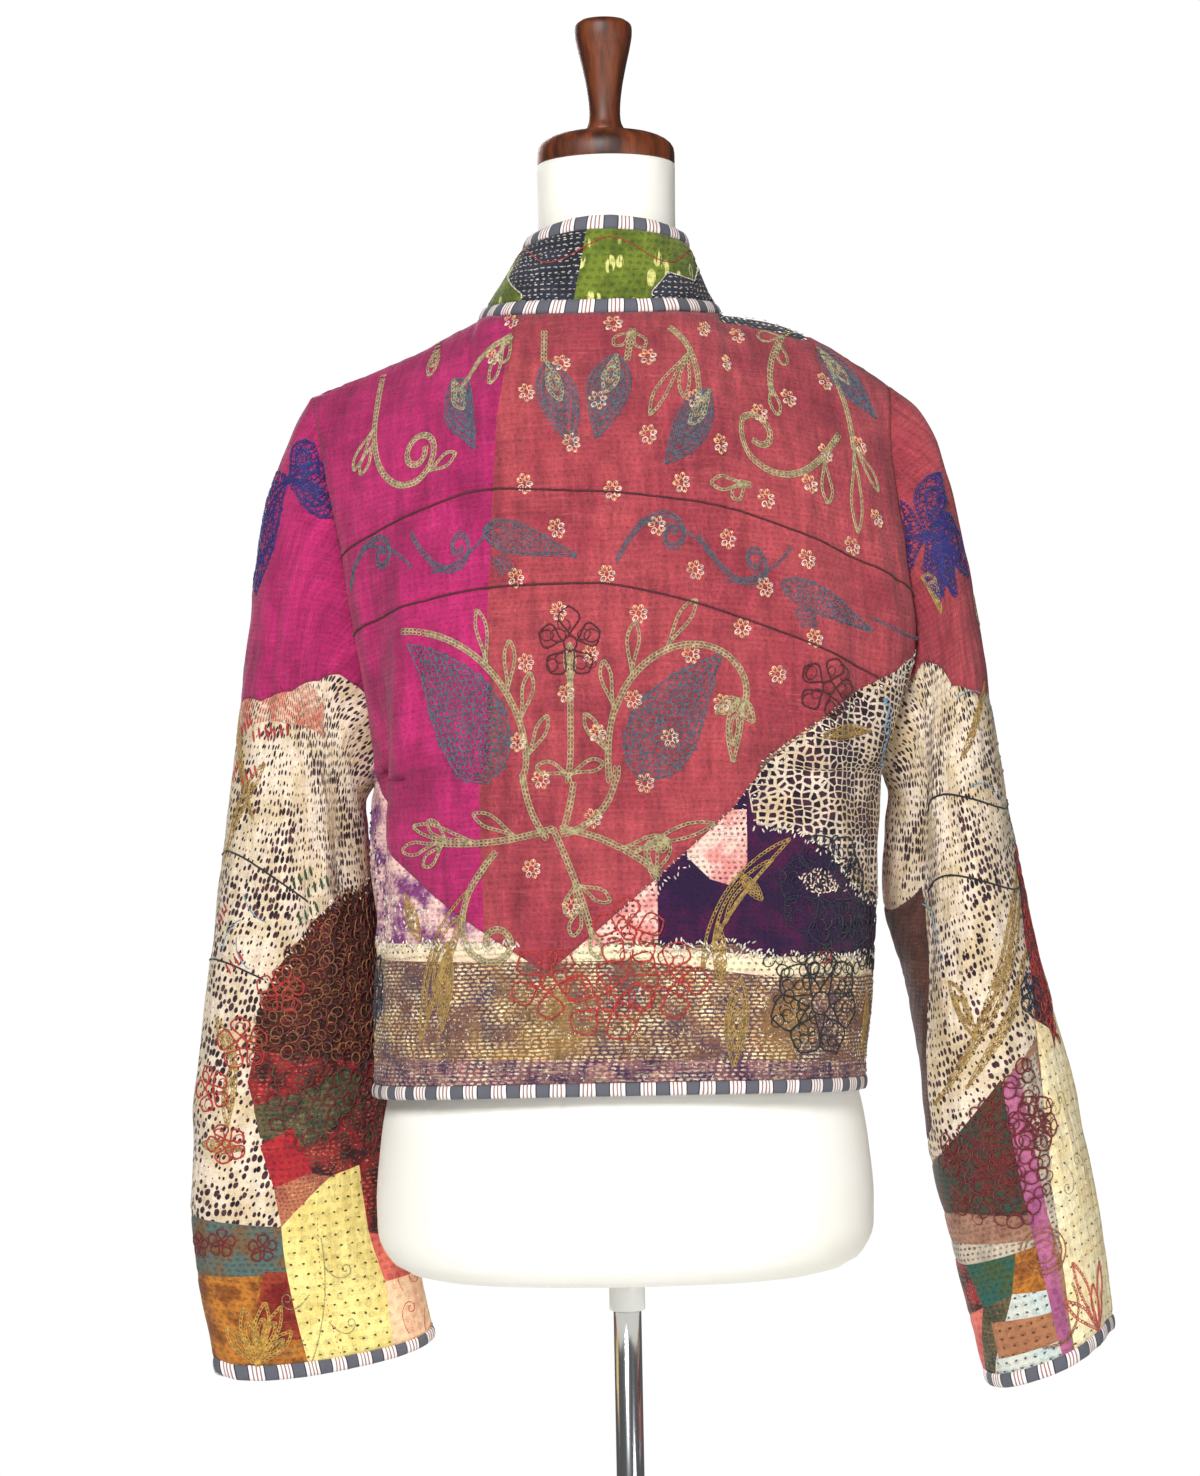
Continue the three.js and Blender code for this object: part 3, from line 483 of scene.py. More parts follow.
class Panel:
    # A panel is drawn flat, in centimetres: x across and y up (down on a sleeve).
    def __init__(self, name, surface, direction, size, shift=0.0, wraps=False, rows=(), limits=(0, 1, 0, 1)):
        self.name, self.surface, self.direction = name, surface, direction
        self.size, self.shift, self.wraps, self.rows = size, shift, wraps, rows
        self.limits = limits
        self.low, self.high = self.flat(np.array(limits[:2]), np.array(limits[2:]))
        self.ruler()

    def share(self, flat):
        return flat[:, 0] / self.size[0] + self.shift, flat[:, 1] / self.size[1]

    def flat(self, across, up):
        return pairs((across - self.shift) * self.size[0], up * self.size[1])

    # How far each place is from the middle line and from the lower edge, along the cloth, in metres.
    def ruler(self, count=90):
        a0, a1, b0, b1 = self.limits
        acrosses, ups = np.linspace(a0, a1, count), np.linspace(b0, b1, count)
        grid = np.array([self.surface(acrosses, np.full(count, up)) for up in ups]) * mm
        across = np.cumsum(np.linalg.norm(np.diff(grid, axis=1), axis=2), axis=1)
        across = np.concatenate([np.zeros((count, 1)), across], 1)
        middle = np.array([np.interp(0.25 if self.wraps else 0.5, acrosses, row) for row in across])
        up = np.cumsum(np.linalg.norm(np.diff(grid, axis=0), axis=2), axis=0)
        up = np.concatenate([np.zeros((1, count)), up], 0)
        if self.wraps:
            up = up[-1:] - up
        self.measured = pairs(across - middle[:, None], up)

    def cloth(self, across, up):
        a0, a1, b0, b1 = self.limits
        count = self.measured.shape[0]
        x = clamp((across - a0) / (a1 - a0)) * (count - 1)
        y = clamp((up - b0) / (b1 - b0)) * (count - 1)
        i, j = np.minimum(x.astype(int), count - 2), np.minimum(y.astype(int), count - 2)
        s, t = (x - i)[:, None], (y - j)[:, None]
        m = self.measured
        return mix(mix(m[j, i], m[j, i + 1], s), mix(m[j + 1, i], m[j + 1, i + 1], s), t)

    # Where stitches lie, just over the outer face at some places drawn flat, and which way is out.
    def onTop(self, flat):
        across, up = self.share(np.asarray(flat, float))
        if self.wraps:
            across = across % 1
        across, up = clamp(across), clamp(up)
        out = self.direction(across, up)
        base = self.surface(across, up) + out * (self.relief(across, up) + clothHalf + stitchLift)[:, None]
        return base * mm, unit(out)

    # The middle of the cloth.
    def skin(self, across, up):
        across = across % 1 if self.wraps else across
        return self.surface(across, up) + self.direction(across, up) * self.relief(across, up)[:, None]

    def relief(self, across, up):
        return foldDepth(self.rows, across, up) + self.pucker(across, up)

    # The soft unevenness that the quilting gives the cloth.
    def pucker(self, across, up):
        flat = self.cloth(across, up) / mm
        seed = sum(map(ord, self.name))
        small = [0.9 * noise.noise(Vector((x / 8, y / 24, seed))) for x, y in flat]
        broad = [1.3 * noise.noise(Vector((x / 34, y / 42, seed + 9))) for x, y in flat]
        return np.array(small) + np.array(broad)

    # Two steps of a centimetre on the cloth, as steps of the flat drawing, at a place.
    def frameAt(self, place):
        step = 0.1
        around = np.array([place, (place[0] + step, place[1]), (place[0], place[1] + step)], float)
        across, up = self.share(around)
        spot = self.surface(across % 1 if self.wraps else clamp(across), clamp(up)) * mm / cm
        alongX, alongY = (spot[1] - spot[0]) / step, (spot[2] - spot[0]) / step
        sizeX = np.linalg.norm(alongX)
        skew = alongX @ alongY / sizeX
        sizeY = math.sqrt(max(1e-6, alongY @ alongY - skew**2))
        toCloth = np.array([[sizeX, skew], [0, sizeY]])
        return np.linalg.inv(toCloth)


clothHalf = 1.3
innerHalf = 1.1
stitchLift = 0.2
hemBand = 9 / 540
frontBand = 9 / 255
cuffBand = 9 / 650
collarBand = 9 / 68

panels = {
    "back": Panel(
        "back", backSurface, panelDirection(backSurface, lambda across: 1), (50, 54), 0.5,
        rows=folds["back"] + creases["back"], limits=(0, 1, hemBand, 1),
    ),
    "collar": Panel(
        "collar", collarSurface, collarDirection, (40, 7), 0.5, limits=(0, 1, collarBand, 1 - collarBand),
    ),
}
for side, sign in signOf.items():
    surface = frontSurfaces[side]
    panels["front_" + side] = Panel(
        "front_" + side, surface, panelDirection(surface, lambda across, sign=sign: -sign), (25, 54),
        rows=folds[side] + creases["front"], limits=(0, 1 - frontBand, hemBand, 1),
    )
    surface = sleeveSurfaces[side]
    panels["sleeve_" + side] = Panel(
        "sleeve_" + side, surface, sleeveDirection(side, surface), (40, 65), wraps=True,
        rows=folds["sleeve"] + creases[side], limits=(0, 1, 0, 1 - cuffBand),
    )
print("panels measured")


# A shader value that takes part in Python expressions.
class Wire:
    def __init__(self, tree, socket):
        self.tree, self.socket = tree, socket

    def make(self, kind, inputs=None, output=0, **settings):
        made = self.tree.nodes.new(kind)
        for name, value in settings.items():
            setattr(made, name, value)
        for name, value in (inputs or {}).items():
            if isinstance(value, Wire):
                self.tree.links.new(value.socket, made.inputs[name])
            else:
                made.inputs[name].default_value = value
        return Wire(self.tree, made.outputs[output])

    def maths(self, operation, *others):
        values = dict(enumerate((self,) + others))
        return self.make("ShaderNodeMath", values, operation=operation)

    def __add__(self, other):
        return self.maths("ADD", other)

    def __mul__(self, other):
        return self.maths("MULTIPLY", other)

    def __sub__(self, other):
        return self.maths("SUBTRACT", other)

    def __truediv__(self, other):
        return self.maths("DIVIDE", other)

    def __rsub__(self, other):
        return self.make("ShaderNodeMath", {0: other, 1: self}, operation="SUBTRACT")

    __radd__ = __add__
    __rmul__ = __mul__

    # 0 below start, 1 above end, and smooth between them
    def rise(self, start, end):
        inputs = {"Value": self, "From Min": start, "From Max": end}
        return self.make("ShaderNodeMapRange", inputs, interpolation_type="SMOOTHSTEP")

    def blend(self, first, second):
        # sockets 6 and 7 are the two colours, and output 2 is the mixed one
        return self.make("ShaderNodeMix", {0: self, 6: first, 7: second}, output=2, data_type="RGBA")

    def noisy(self, scale, detail=2.0, rough=0.5):
        inputs = {"Vector": self, "Scale": scale, "Detail": detail, "Roughness": rough}
        return self.make("ShaderNodeTexNoise", inputs)

    # soft streaks or blotches over part of the cloth, as a mask
    def streaks(self, x, y, low, high, rough=0.6):
        return self.stretched(x, y).noisy(1.0, 3.0, rough).rise(low, high)

    # a colour made lighter or darker by a shade
    def shaded(self, shade):
        tint = self.make("ShaderNodeCombineXYZ", {0: shade, 1: shade, 2: shade})
        return self.make("ShaderNodeVectorMath", {0: self, 1: tint}, operation="MULTIPLY")

    def stretched(self, x, y, z=1.0):
        return self.make("ShaderNodeVectorMath", {0: self, 1: (x, y, z)}, operation="MULTIPLY")

    def moved(self, x, y):
        return self.make("ShaderNodeVectorMath", {0: self, 1: (x, y, 0.0)}, operation="ADD")


# A colour as it is read off a colour chart, 0 to 255, made linear.
def tone(*levels):
    return tuple(((c / 255 + 0.055) / 1.055) ** 2.4 if c > 10 else c / 3294.6 for c in levels) + (1.0,)


def newMaterial(name, placing, roughness, **sockets):
    material = bpy.data.materials.new(name)
    material.use_nodes = True
    tree = material.node_tree
    shader = tree.nodes["Principled BSDF"]
    shader.inputs["Roughness"].default_value = roughness
    for socket, value in sockets.items():
        shader.inputs[socket.replace("_", " ")].default_value = value
    return material, shader, placing(tree)


def clothPlace(tree):
    made = tree.nodes.new("ShaderNodeUVMap")
    made.uv_map = "cloth"
    return Wire(tree, made.outputs["UV"])


def objectPlace(tree):
    return Wire(tree, tree.nodes.new("ShaderNodeTexCoord").outputs["Object"])


def finishShader(shader, colour, height=None, distance=0.0, strength=0.0, roughness=None):
    given = {"Base Color": colour, "Roughness": roughness}
    if height:
        inputs = {"Strength": strength, "Distance": distance, "Height": height}
        given["Normal"] = height.make("ShaderNodeBump", inputs)
    for name, value in given.items():
        if value:
            colour.tree.links.new(value.socket, shader.inputs[name])


# The two measures of a place on the cloth. Turned rows lean a little as they run up and down.
def acrossAndUp(place, turned):
    x = place.make("ShaderNodeSeparateXYZ", {0: place})
    y = Wire(place.tree, x.socket.node.outputs[1])
    return (y, x + y * 0.25) if turned else (x, y)


# Rows of running stitches as a mask: 1 on a stitch and 0 between them.
def stitchMask(place, length, row, fill, thick, wander=0.35, seed=0.0, ragged=0.25, turned=False):
    drift = place.noisy(38.0 + seed, 1.0)
    x, y = acrossAndUp(place, turned)
    y = y / row + (drift - 0.5) * (wander * 2)
    rowNumber = y.maths("FLOOR")
    shift = rowNumber.make("ShaderNodeTexWhiteNoise", {"W": rowNumber + seed}, noise_dimensions="1D")
    x = x / length + shift * 3.0
    cell = x.maths("FLOOR") + rowNumber * 57.0
    size = cell.make("ShaderNodeTexWhiteNoise", {"W": cell + seed}, noise_dimensions="1D")
    fine = place.noisy(900.0)
    a = (x.maths("FRACT") - 0.5) / (size * 0.4 + 0.8) / fill
    b = (y.maths("FRACT") - 0.5) / thick
    far = (a * a + b * b).maths("SQRT") + (fine - 0.5) * ragged * 4
    return 1.0 - far.rise(0.38, 0.6)


# A light net as a mask: 1 in the dark cells and 0 on the threads between them. Dots stand further apart.
def netMask(place, length, row, thread, seed=0.0, turned=False, dots=False):
    drift = place.noisy(30.0 + seed)
    x, y = acrossAndUp(place, turned)
    at = x.make("ShaderNodeCombineXYZ", {0: x / length + seed, 1: y / row + drift * 1.6})
    bunch = place.noisy(24.0).rise(0.36, 0.64)
    fray = (place.noisy(1100.0, 2.0) - 0.5) * 0.14
    cells = {"Vector": at, "Scale": 1.0, "Randomness": 0.6}
    feature = "F1" if dots else "DISTANCE_TO_EDGE"
    away = at.make("ShaderNodeTexVoronoi", cells, voronoi_dimensions="2D", feature=feature)
    if not dots:
        return (away - (1.0 - bunch) * (thread * 1.5) - thread * 0.5 + fray).rise(0.0, 0.05)
    luck = away.make("ShaderNodeSeparateXYZ", {0: Wire(place.tree, away.socket.node.outputs["Color"])})
    size = luck * 0.2 + bunch * (1.0 - thread) * 0.26 + 0.08
    return (size - away + fray).rise(0.0, 0.06)


# The finishes of the patches, in these columns. ground and second are mixed by soft blotches of size cm;
# threads is how much the yarns differ; crease is how strongly the crinkle darkens and lightens the colour,
# as painted shade and light; slub is streaks in another colour, how strong and how upright; stitch is the
# quilting's length and rows in mm, and dimple is how deep its dimples are and the painted shade in them.
finishColumns = ("ground", "second", "size", "threads", "crease", "slub", "stitch", "dimple")
finishes = {
    "rust": ((166, 66, 74), (146, 52, 64), 7, 0.32, 1.15, ((194, 102, 98), 0.45, 1), (4.6, 3.9), 0.1),
    "magenta": ((176, 34, 98), (154, 28, 86), 7, 0.28, 1.15, ((200, 72, 122), 0.4, 1), (4.6, 3.9), 0.12),
    "creamNet": ((226, 208, 188), (206, 180, 146), 4, 0.3, 0.6, ((196, 178, 132), 0.5, 0.6), (6.2, 4.8), 0),
    "creamRows": ((230, 212, 190), (208, 186, 150), 4, 0.3, 0.7, ((206, 180, 132), 0.4, 0.8), (6.6, 4.4), 0),
    "redDashed": ((230, 206, 178), (214, 146, 118), 2.4, 0.22, 0.2, ((198, 64, 44), 0.7, 0.6), (6.4, 3.4), 0),
    "aubergine": ((40, 14, 54), (72, 14, 60), 2.6, 0.34, 0.3, ((24, 20, 70), 0.7, 0.8), (4.6, 3.8), 0.3),
    "tweed": ((118, 78, 66), (88, 62, 74), 2.4, 0.6, 0.9, ((60, 36, 56), 0.95, 0.7), (5.4, 2.6), 0),
    "mauveTweed": ((126, 86, 88), (66, 40, 70), 1.4, 0.6, 0.9, ((226, 196, 156), 0.9, 0.7), (5.4, 2.8), 0),
    "worn": ((240, 196, 186), (130, 56, 116), 1.8, 0.32, 0.2, ((58, 40, 122), 0.95, 0.8), (4.6, 3.9), 0.3),
    "rosy": ((244, 206, 190), (226, 146, 138), 1.6, 0.26, 0.15, ((172, 66, 88), 0.5, 0.7), (4.2, 3.6), 0),
    "cream": ((246, 232, 190), (236, 210, 180), 2, 0.24, 0.1, ((206, 184, 130), 0.4, 0.7), (5.2, 4.2), 0.2),
    "brownLoops": ((42, 15, 13), (72, 31, 19), 1.4, 0.6, 0.8, ((30, 10, 14), 0.95, 0.7), (4.8, 3), 0),
    "crimson": ((150, 34, 40), (58, 20, 24), 1.6, 0.5, 0.8, ((44, 18, 24), 0.9, 0.7), (5.2, 3.2), 0),
    "redWoven": ((176, 40, 48), (158, 30, 44), 3, 0.34, 0.2, ((212, 112, 92), 0.6, 1), (5.6, 5), 0.3),
    "brownWoven": ((186, 112, 80), (156, 82, 68), 2, 0.45, 0.2, ((230, 182, 136), 0.7, 1), (3.4, 3), 0.4),
    "darkWoven": ((92, 56, 46), (70, 38, 36), 2.4, 0.45, 0.3, ((140, 98, 74), 0.6, 1), (3.8, 3.2), 0.4),
    "green": ((98, 86, 58), (62, 66, 46), 1.6, 0.45, 0.2, ((156, 128, 92), 0.6, 0.6), (4.6, 3.8), 0.4),
    "teal": ((84, 104, 98), (116, 88, 58), 1.8, 0.36, 0.2, ((60, 96, 110), 0.6, 0.7), (5.4, 4.4), 0.25),
    "cuffTeal": ((56, 66, 54), (92, 56, 38), 1.8, 0.4, 0.2, ((40, 84, 84), 0.6, 0.7), (5.4, 4.4), 0.3),
    "tealBlue": ((40, 92, 80), (66, 86, 52), 2.2, 0.32, 0.2, ((28, 80, 104), 0.6, 0.7), (5.4, 4.4), 0.25),
    "amber": ((190, 120, 44), (132, 74, 30), 1.6, 0.32, 0.15, ((84, 24, 22), 0.75, 0.5), (5.4, 4.4), 0.25),
    "oxblood": ((118, 24, 22), (152, 56, 36), 1.4, 0.34, 0.2, ((196, 130, 76), 0.55, 0.5), (5.4, 4.4), 0.25),
    "lime": ((246, 226, 142), (230, 208, 122), 3, 0.2, 0.5, ((250, 236, 168), 0.4, 1), (9, 8.5), 0.1),
    "peach": ((252, 210, 168), (234, 176, 140), 2.4, 0.18, 0.2, ((250, 222, 190), 0.4, 1), (8.5, 8), 0.12),
    "coral": ((228, 116, 98), (208, 92, 86), 3, 0.22, 0.2, ((236, 154, 122), 0.4, 1), (7, 6), 0.2),
    "paleYellow": ((255, 240, 196), (252, 228, 172), 3, 0.2, 0.5, ((255, 246, 214), 0.4, 1), (9, 8.5), 0.1),
    "mauve": ((184, 104, 138), (160, 84, 126), 3, 0.22, 0.2, ((204, 136, 164), 0.4, 1), (7, 6), 0.2),
    "greyWhite": ((204, 188, 166), (170, 156, 140), 2, 0.24, 0.2, ((140, 128, 112), 0.5, 1), (4.6, 3.8), 0),
    "paleBlue": ((196, 208, 202), (214, 214, 202), 2, 0.2, 0.15, ((150, 186, 190), 0.5, 1), (7, 6), 0.15),
    "taupe": ((162, 120, 98), (142, 98, 80), 2, 0.34, 0.25, ((190, 148, 122), 0.5, 1), (5.4, 4.4), 0.25),
    "tan": ((176, 120, 84), (166, 110, 76), 3, 0.2, 0.15, ((190, 140, 100), 0.3, 1), (8, 6.5), 0.15),
    "navy": ((30, 32, 42), (46, 48, 62), 3, 0.35, 0.2, ((70, 72, 84), 0.4, 1), (5, 4), 0),
    "foliage": ((112, 128, 40), (84, 100, 30), 2, 0.24, 0.2, ((140, 150, 60), 0.4, 1), (6, 5), 0.25),
}

# What only some finishes have: dash is a running stitch in two colours, with how full its cells are, and
# patchy how unevenly it lies; turned stitches run up and down; fleck is a scatter of small bright yarns;
# zone is large worn areas; net is dark cells in a light net, or dots; block is printed leaves.
finishExtras = {
    "creamNet": {"net": ((28, 14, 28), (66, 34, 54), 0.1), "zone": ((176, 160, 110), 0.35)},
    "creamRows": {"turned": True, "net": ((34, 20, 30), (80, 48, 58), 0.1), "dots": True},
    "redDashed": {"turned": True, "dash": ((190, 44, 34), (92, 40, 40), 0.84, 0.66), "patchy": 0.3},
    "tweed": {
        "dash": ((250, 232, 184), (206, 170, 116), 0.74, 0.56), "patchy": 0.95,
        "fleck": ((246, 230, 184), 0.5), "zone": ((158, 122, 54), 0.6),
    },
    "mauveTweed": {
        "dash": ((240, 218, 190), (214, 150, 146), 0.6, 0.5), "patchy": 0.95,
        "fleck": ((246, 226, 208), 0.6),
    },
    "worn": {"fleck": ((250, 230, 220), 0.6)},
    "rosy": {"dash": ((46, 26, 44), (90, 40, 60), 0.5, 0.5), "patchy": 0.7},
    "cream": {"dash": ((88, 58, 58), (120, 90, 70), 0.34, 0.34), "patchy": 0.7},
    "brownLoops": {
        "dash": ((138, 80, 46), (108, 26, 26), 0.66, 0.5), "patchy": 0.95, "fleck": ((196, 150, 92), 0.4),
    },
    "crimson": {
        "dash": ((202, 92, 74), (70, 84, 56), 0.62, 0.46), "patchy": 0.95, "fleck": ((226, 172, 134), 0.42),
    },
    "brownWoven": {"fleck": ((236, 196, 150), 0.4)},
    "green": {"fleck": ((206, 170, 150), 0.3)},
    "lime": {"dash": ((66, 60, 44), (90, 80, 50), 0.24, 0.18), "patchy": 0.0},
    "paleYellow": {"dash": ((64, 50, 40), (90, 70, 50), 0.22, 0.16), "patchy": 0.0},
    "greyWhite": {"dash": ((62, 52, 50), (90, 76, 66), 0.5, 0.46), "patchy": 0.4},
    "paleBlue": {"dash": ((70, 80, 84), (80, 90, 90), 0.3, 0.24), "patchy": 0.0},
    "tan": {"dash": ((96, 60, 44), (90, 60, 44), 0.3, 0.24), "patchy": 0.0},
    "navy": {"dash": ((206, 198, 186), (160, 156, 156), 0.5, 0.26), "patchy": 0.4},
    "foliage": {"block": ((216, 214, 128), 1)},
}


def patchCloth(name):
    look = dict(zip(finishColumns, finishes[name]), **finishExtras.get(name, {}))
    sheen = {"Sheen_Weight": 0.1, "Sheen_Roughness": 0.6, "Specular_IOR_Level": 0.22}
    material, shader, place = newMaterial("cloth_" + name, clothPlace, 0.93, **sheen)
    seed = sum(map(ord, name)) % 23 * 0.37
    spot = place.moved(seed, seed * 1.7)
    blotch = spot.noisy(100 / look["size"], 3.0, 0.6).rise(0.4, 0.62)
    colour = blotch.blend(tone(*look["ground"]), tone(*look["second"]))
    if "zone" in look:
        zoneTone, amount = look["zone"]
        colour = (spot.streaks(14, 9, 0.5, 0.68) * amount).blend(colour, tone(*zoneTone))

    slubTone, amount, lean = look["slub"]
    along = spot.streaks(60, 620, 0.5, 0.72, 0.65)
    upward = spot.streaks(620, 70, 0.54, 0.74, 0.65)
    slub = along.maths("MAXIMUM", upward * lean) * spot.noisy(32.0).rise(0.3, 0.7) * amount
    colour = slub.blend(colour, tone(*slubTone))

    if "block" in look:
        blockTone, amount = look["block"]
        leaves = spot.make("ShaderNodeTexVoronoi", {"Vector": spot.stretched(90, 50), "Scale": 1.0})
        veins = spot.stretched(420, 60).noisy(1.0).rise(0.42, 0.5)
        colour = ((1.0 - leaves.rise(0.3, 0.36)) * veins * amount).blend(colour, tone(*blockTone))
    if "fleck" in look:
        fleckTone, amount = look["fleck"]
        dots = spot.streaks(340, 560, 0.6, 0.66, 0.7)
        bunch = spot.stretched(1.0, 2.2).noisy(40.0).rise(0.42, 0.62)
        flecks = (dots * (bunch * 0.75 + 0.25) * (amount * 2.4)).maths("MINIMUM", 1.0)
        colour = flecks.blend(colour, tone(*fleckTone))

    length, row = (value * mm for value in look["stitch"])
    turned = look.get("turned", False)
    mask = stitchMask(spot, length, row, 0.5, 0.44, 0.8, seed, 0.42, turned)
    # painted shade: the colour is darkened in the stitch dimples, where shade would fall
    shade = 1.0 - mask * look["dimple"]
    if "dash" in look:
        first, second, fill, thick = look["dash"]
        patchy = look["patchy"]
        grow = spot.noisy(34.0, 3.0).rise(0.38, 0.62) * patchy + (1.0 - patchy)
        dashes = stitchMask(spot, length, row, fill, thick, 0.4, seed + 3.0, 0.34, turned)
        dashColour = spot.noisy(90.0).rise(0.4, 0.6).blend(tone(*first), tone(*second))
        colour = (dashes * grow.maths("MINIMUM", 1.0)).blend(colour, dashColour)
        mask = mask.maths("MAXIMUM", dashes)
    if "net" in look:
        first, second, thread = look["net"]
        cells = netMask(spot, length, row, thread, seed, turned, look.get("dots", False))
        colour = cells.blend(colour, spot.noisy(110.0).rise(0.4, 0.6).blend(tone(*first), tone(*second)))
        mask = cells
    threads = spot.stretched(1500, 260).noisy(1.0) + spot.stretched(260, 1500).noisy(1.0) - 1.0
    # the crinkle raises the cloth in the bump and also paints its light and shade into the colour
    crinkle = spot.stretched(130, 20).noisy(1.0, 2.0, 0.6) + spot.stretched(45, 190).noisy(1.0) * 0.5 - 0.75
    shade = (shade + threads * (look["threads"] * 2.2)) * (1.0 + crinkle * look["crease"])
    height = crinkle * 2.2 + threads * 0.35 - mask * (0.3 + look["dimple"])
    finishShader(shader, colour.shaded(shade), height, 0.0012, 0.85)
    return material


clothMaterials = {name: patchCloth(name) for name in finishes}

# Patches of each block, laid one over the other: a finish and an outline drawn flat, in centimetres.
patches = {
    "back_upper": [
        ("rust", None),
        ("magenta", [
            (-26, 0), (-9.5, 0), (-9.5, 13), (-10, 34), (-9, 41), (-8, 46), (-6, 52), (-5, 56), (-26, 56),
        ]),
        ("navy", [(9, 56), (10, 53), (18, 53), (19, 56)]),
    ],
    "back_lower": [
        ("tweed", None),
        ("mauveTweed", [(-26, -1), (26, -1), (26, 2), (8, 2.5), (-16, 3), (-26, 2.5)]),
        ("worn", [(-26, 11), (-6.5, 11), (-3, 12), (-20, 22), (-26, 25)]),
        ("cream", [
            (-26, 10), (1, 10), (10.5, 8.5), (26, 8), (26, 9.5), (10.5, 10), (1.5, 11), (-4, 11.5), (-26, 11),
        ]),
        ("rosy", [(-2.5, 11), (2.5, 11.5), (3.5, 14.5), (2.5, 16), (-2, 13.5)]),
        ("creamNet", [(3, 14), (8, 12), (26, 12), (26, 34), (3, 18)]),
        ("aubergine", [
            (2.5, 11), (8, 11), (10, 10), (26, 9.5), (26, 14), (20, 13.5), (17, 14.5),
            (14.5, 17), (12, 18.5), (9, 19), (8.5, 22), (4.5, 19), (2.5, 16),
        ]),
        ("rosy", [(4.5, 17), (6, 15.5), (7.5, 15), (8.5, 16.5), (8.5, 20), (4.5, 20)]),
    ],
    "front_left": [
        ("magenta", None),
        ("tweed", [(-1, -1), (26, -1), (26, 10), (-1, 10)]),
        ("mauveTweed", [(-1, -1), (26, -1), (26, 2.5), (-1, 2.5)]),
    ],
    "front_right": [
        ("rust", None),
        ("navy", [(-1, 51), (26, 51), (26, 56), (-1, 56)]),
        ("tweed", [(-1, -1), (26, -1), (26, 10), (-1, 10)]),
        ("mauveTweed", [(-1, -1), (26, -1), (26, 2), (-1, 2)]),
    ],
    "sleeve_left_upper": [("magenta", None)],
    "sleeve_right_upper": [("rust", None)],
    "sleeve_left_lower": [
        ("creamRows", None),
        ("redDashed", [(20, 22), (7.5, 8), (7, 10.5), (12, 17.5), (20, 27)]),
        ("brownLoops", [
            (-1, 13), (0, 14.5), (9, 29), (13.5, 37), (15, 41), (15, 43.5), (7, 40), (0, 36), (-1, 36),
        ]),
        ("crimson", [
            (-1, 36), (0, 36), (7, 40), (15, 43.5), (15.5, 46), (14, 50), (13, 55), (6, 56), (0, 56.5),
            (-1, 56.5),
        ]),
        ("green", [(15, 47.5), (9.5, 43.5), (7, 40.5), (5, 41), (7.5, 45.5), (10.5, 49), (14.5, 49.5)]),
        ("redWoven", [(14.5, 50), (12, 48), (10.5, 51), (13.5, 52.5)]),
        ("brownWoven", [(13.5, 52.5), (10.5, 51), (9, 51), (10.5, 53.5), (13, 55)]),
        ("coral", [(-1, 56), (6, 55), (5, 59), (-1, 58.5)]),
        ("peach", [(-1, 58.5), (5, 59), (5.5, 66), (-1, 66)]),
        ("teal", [(21, 55.5), (13, 55), (12.5, 58), (21, 59)]),
        ("amber", [(21, 59), (12.5, 58), (12.5, 66), (21, 66)]),
        ("oxblood", [(14.5, 58), (12.5, 58), (12.5, 62.5), (16.5, 62.5)]),
        ("lime", [(13, 55), (9, 51), (6.5, 49.5), (6, 54.5), (5, 59), (5.5, 66), (12.5, 66)]),
    ],
    "sleeve_right_lower": [
        ("creamRows", None),
        ("darkWoven", [(-1, 20), (4.5, 22), (5.5, 34), (5, 46), (-1, 50)]),
        ("taupe", [(-1, 50), (6.5, 48.5), (13.5, 45.5), (21, 44), (21, 66), (-1, 66)]),
        ("cuffTeal", [(-1, 50.5), (6.5, 48.5), (12.5, 45.5), (12.5, 54.5), (7, 53), (-1, 53)]),
        ("greyWhite", [(-1, 55), (6, 55), (12.5, 56), (12.5, 57), (6, 56.5), (-1, 56)]),
        ("crimson", [(-1, 56), (6, 56.5), (7, 59.5), (2.5, 60.5), (-1, 60)]),
        ("coral", [(-1, 60), (2.5, 60.5), (7, 59.5), (3, 66), (-1, 66)]),
        ("tealBlue", [(6, 56.5), (11, 56.5), (10, 59), (7, 59.5)]),
        ("green", [(7, 59.5), (10, 59), (9, 60.5), (5, 66), (3, 66)]),
        ("amber", [(11, 56.5), (13, 56.5), (13, 59.5), (10, 59)]),
        ("paleBlue", [(10, 59), (13, 59.5), (13, 66), (5, 66), (9, 60.5)]),
        ("tan", [(7.5, 60.5), (13, 61), (13, 63), (7.5, 63)]),
        ("mauve", [(12.5, 46), (14, 45.5), (14, 66), (13, 66), (12.5, 54.5)]),
        ("greyWhite", [(14, 46), (16, 45.5), (16, 48), (15, 53), (14.5, 58), (14, 55)]),
        ("paleYellow", [(17, 43.5), (21, 46), (21, 66), (14, 66), (14.5, 58), (15, 53), (16, 48)]),
        ("crimson", [(19.5, 35.5), (18, 40.5), (17, 44), (21, 46.5), (21, 35.5)]),
    ],
    "collar": [
        ("foliage", None),
        ("navy", [(-8.5, 8), (-1.5, 8), (-1.5, -1), (-4, -1), (-5, 1.5), (-8.5, 3.5)]),
        ("navy", [(21, -1), (3, -1), (3, 1.5), (4.5, 3), (7, 2.5), (9, 4), (12, 3.5), (21, 4.5)]),
        ("navy", [(-21, -1), (-12.5, -1), (-12, 3), (-14, 8), (-21, 8)]),
    ],
}

# The blocks that each panel is cut into, lower first.
blocks = {
    "back": ("back_lower", "back_upper"),
    "front_left": ("front_left",),
    "front_right": ("front_right",),
    "sleeve_left": ("sleeve_left_lower", "sleeve_left_upper"),
    "sleeve_right": ("sleeve_right_lower", "sleeve_right_upper"),
    "collar": ("collar",),
}
mesh = {"step": 0.4, "seamGroove": 0.75, "grooveWidth": 1.7}


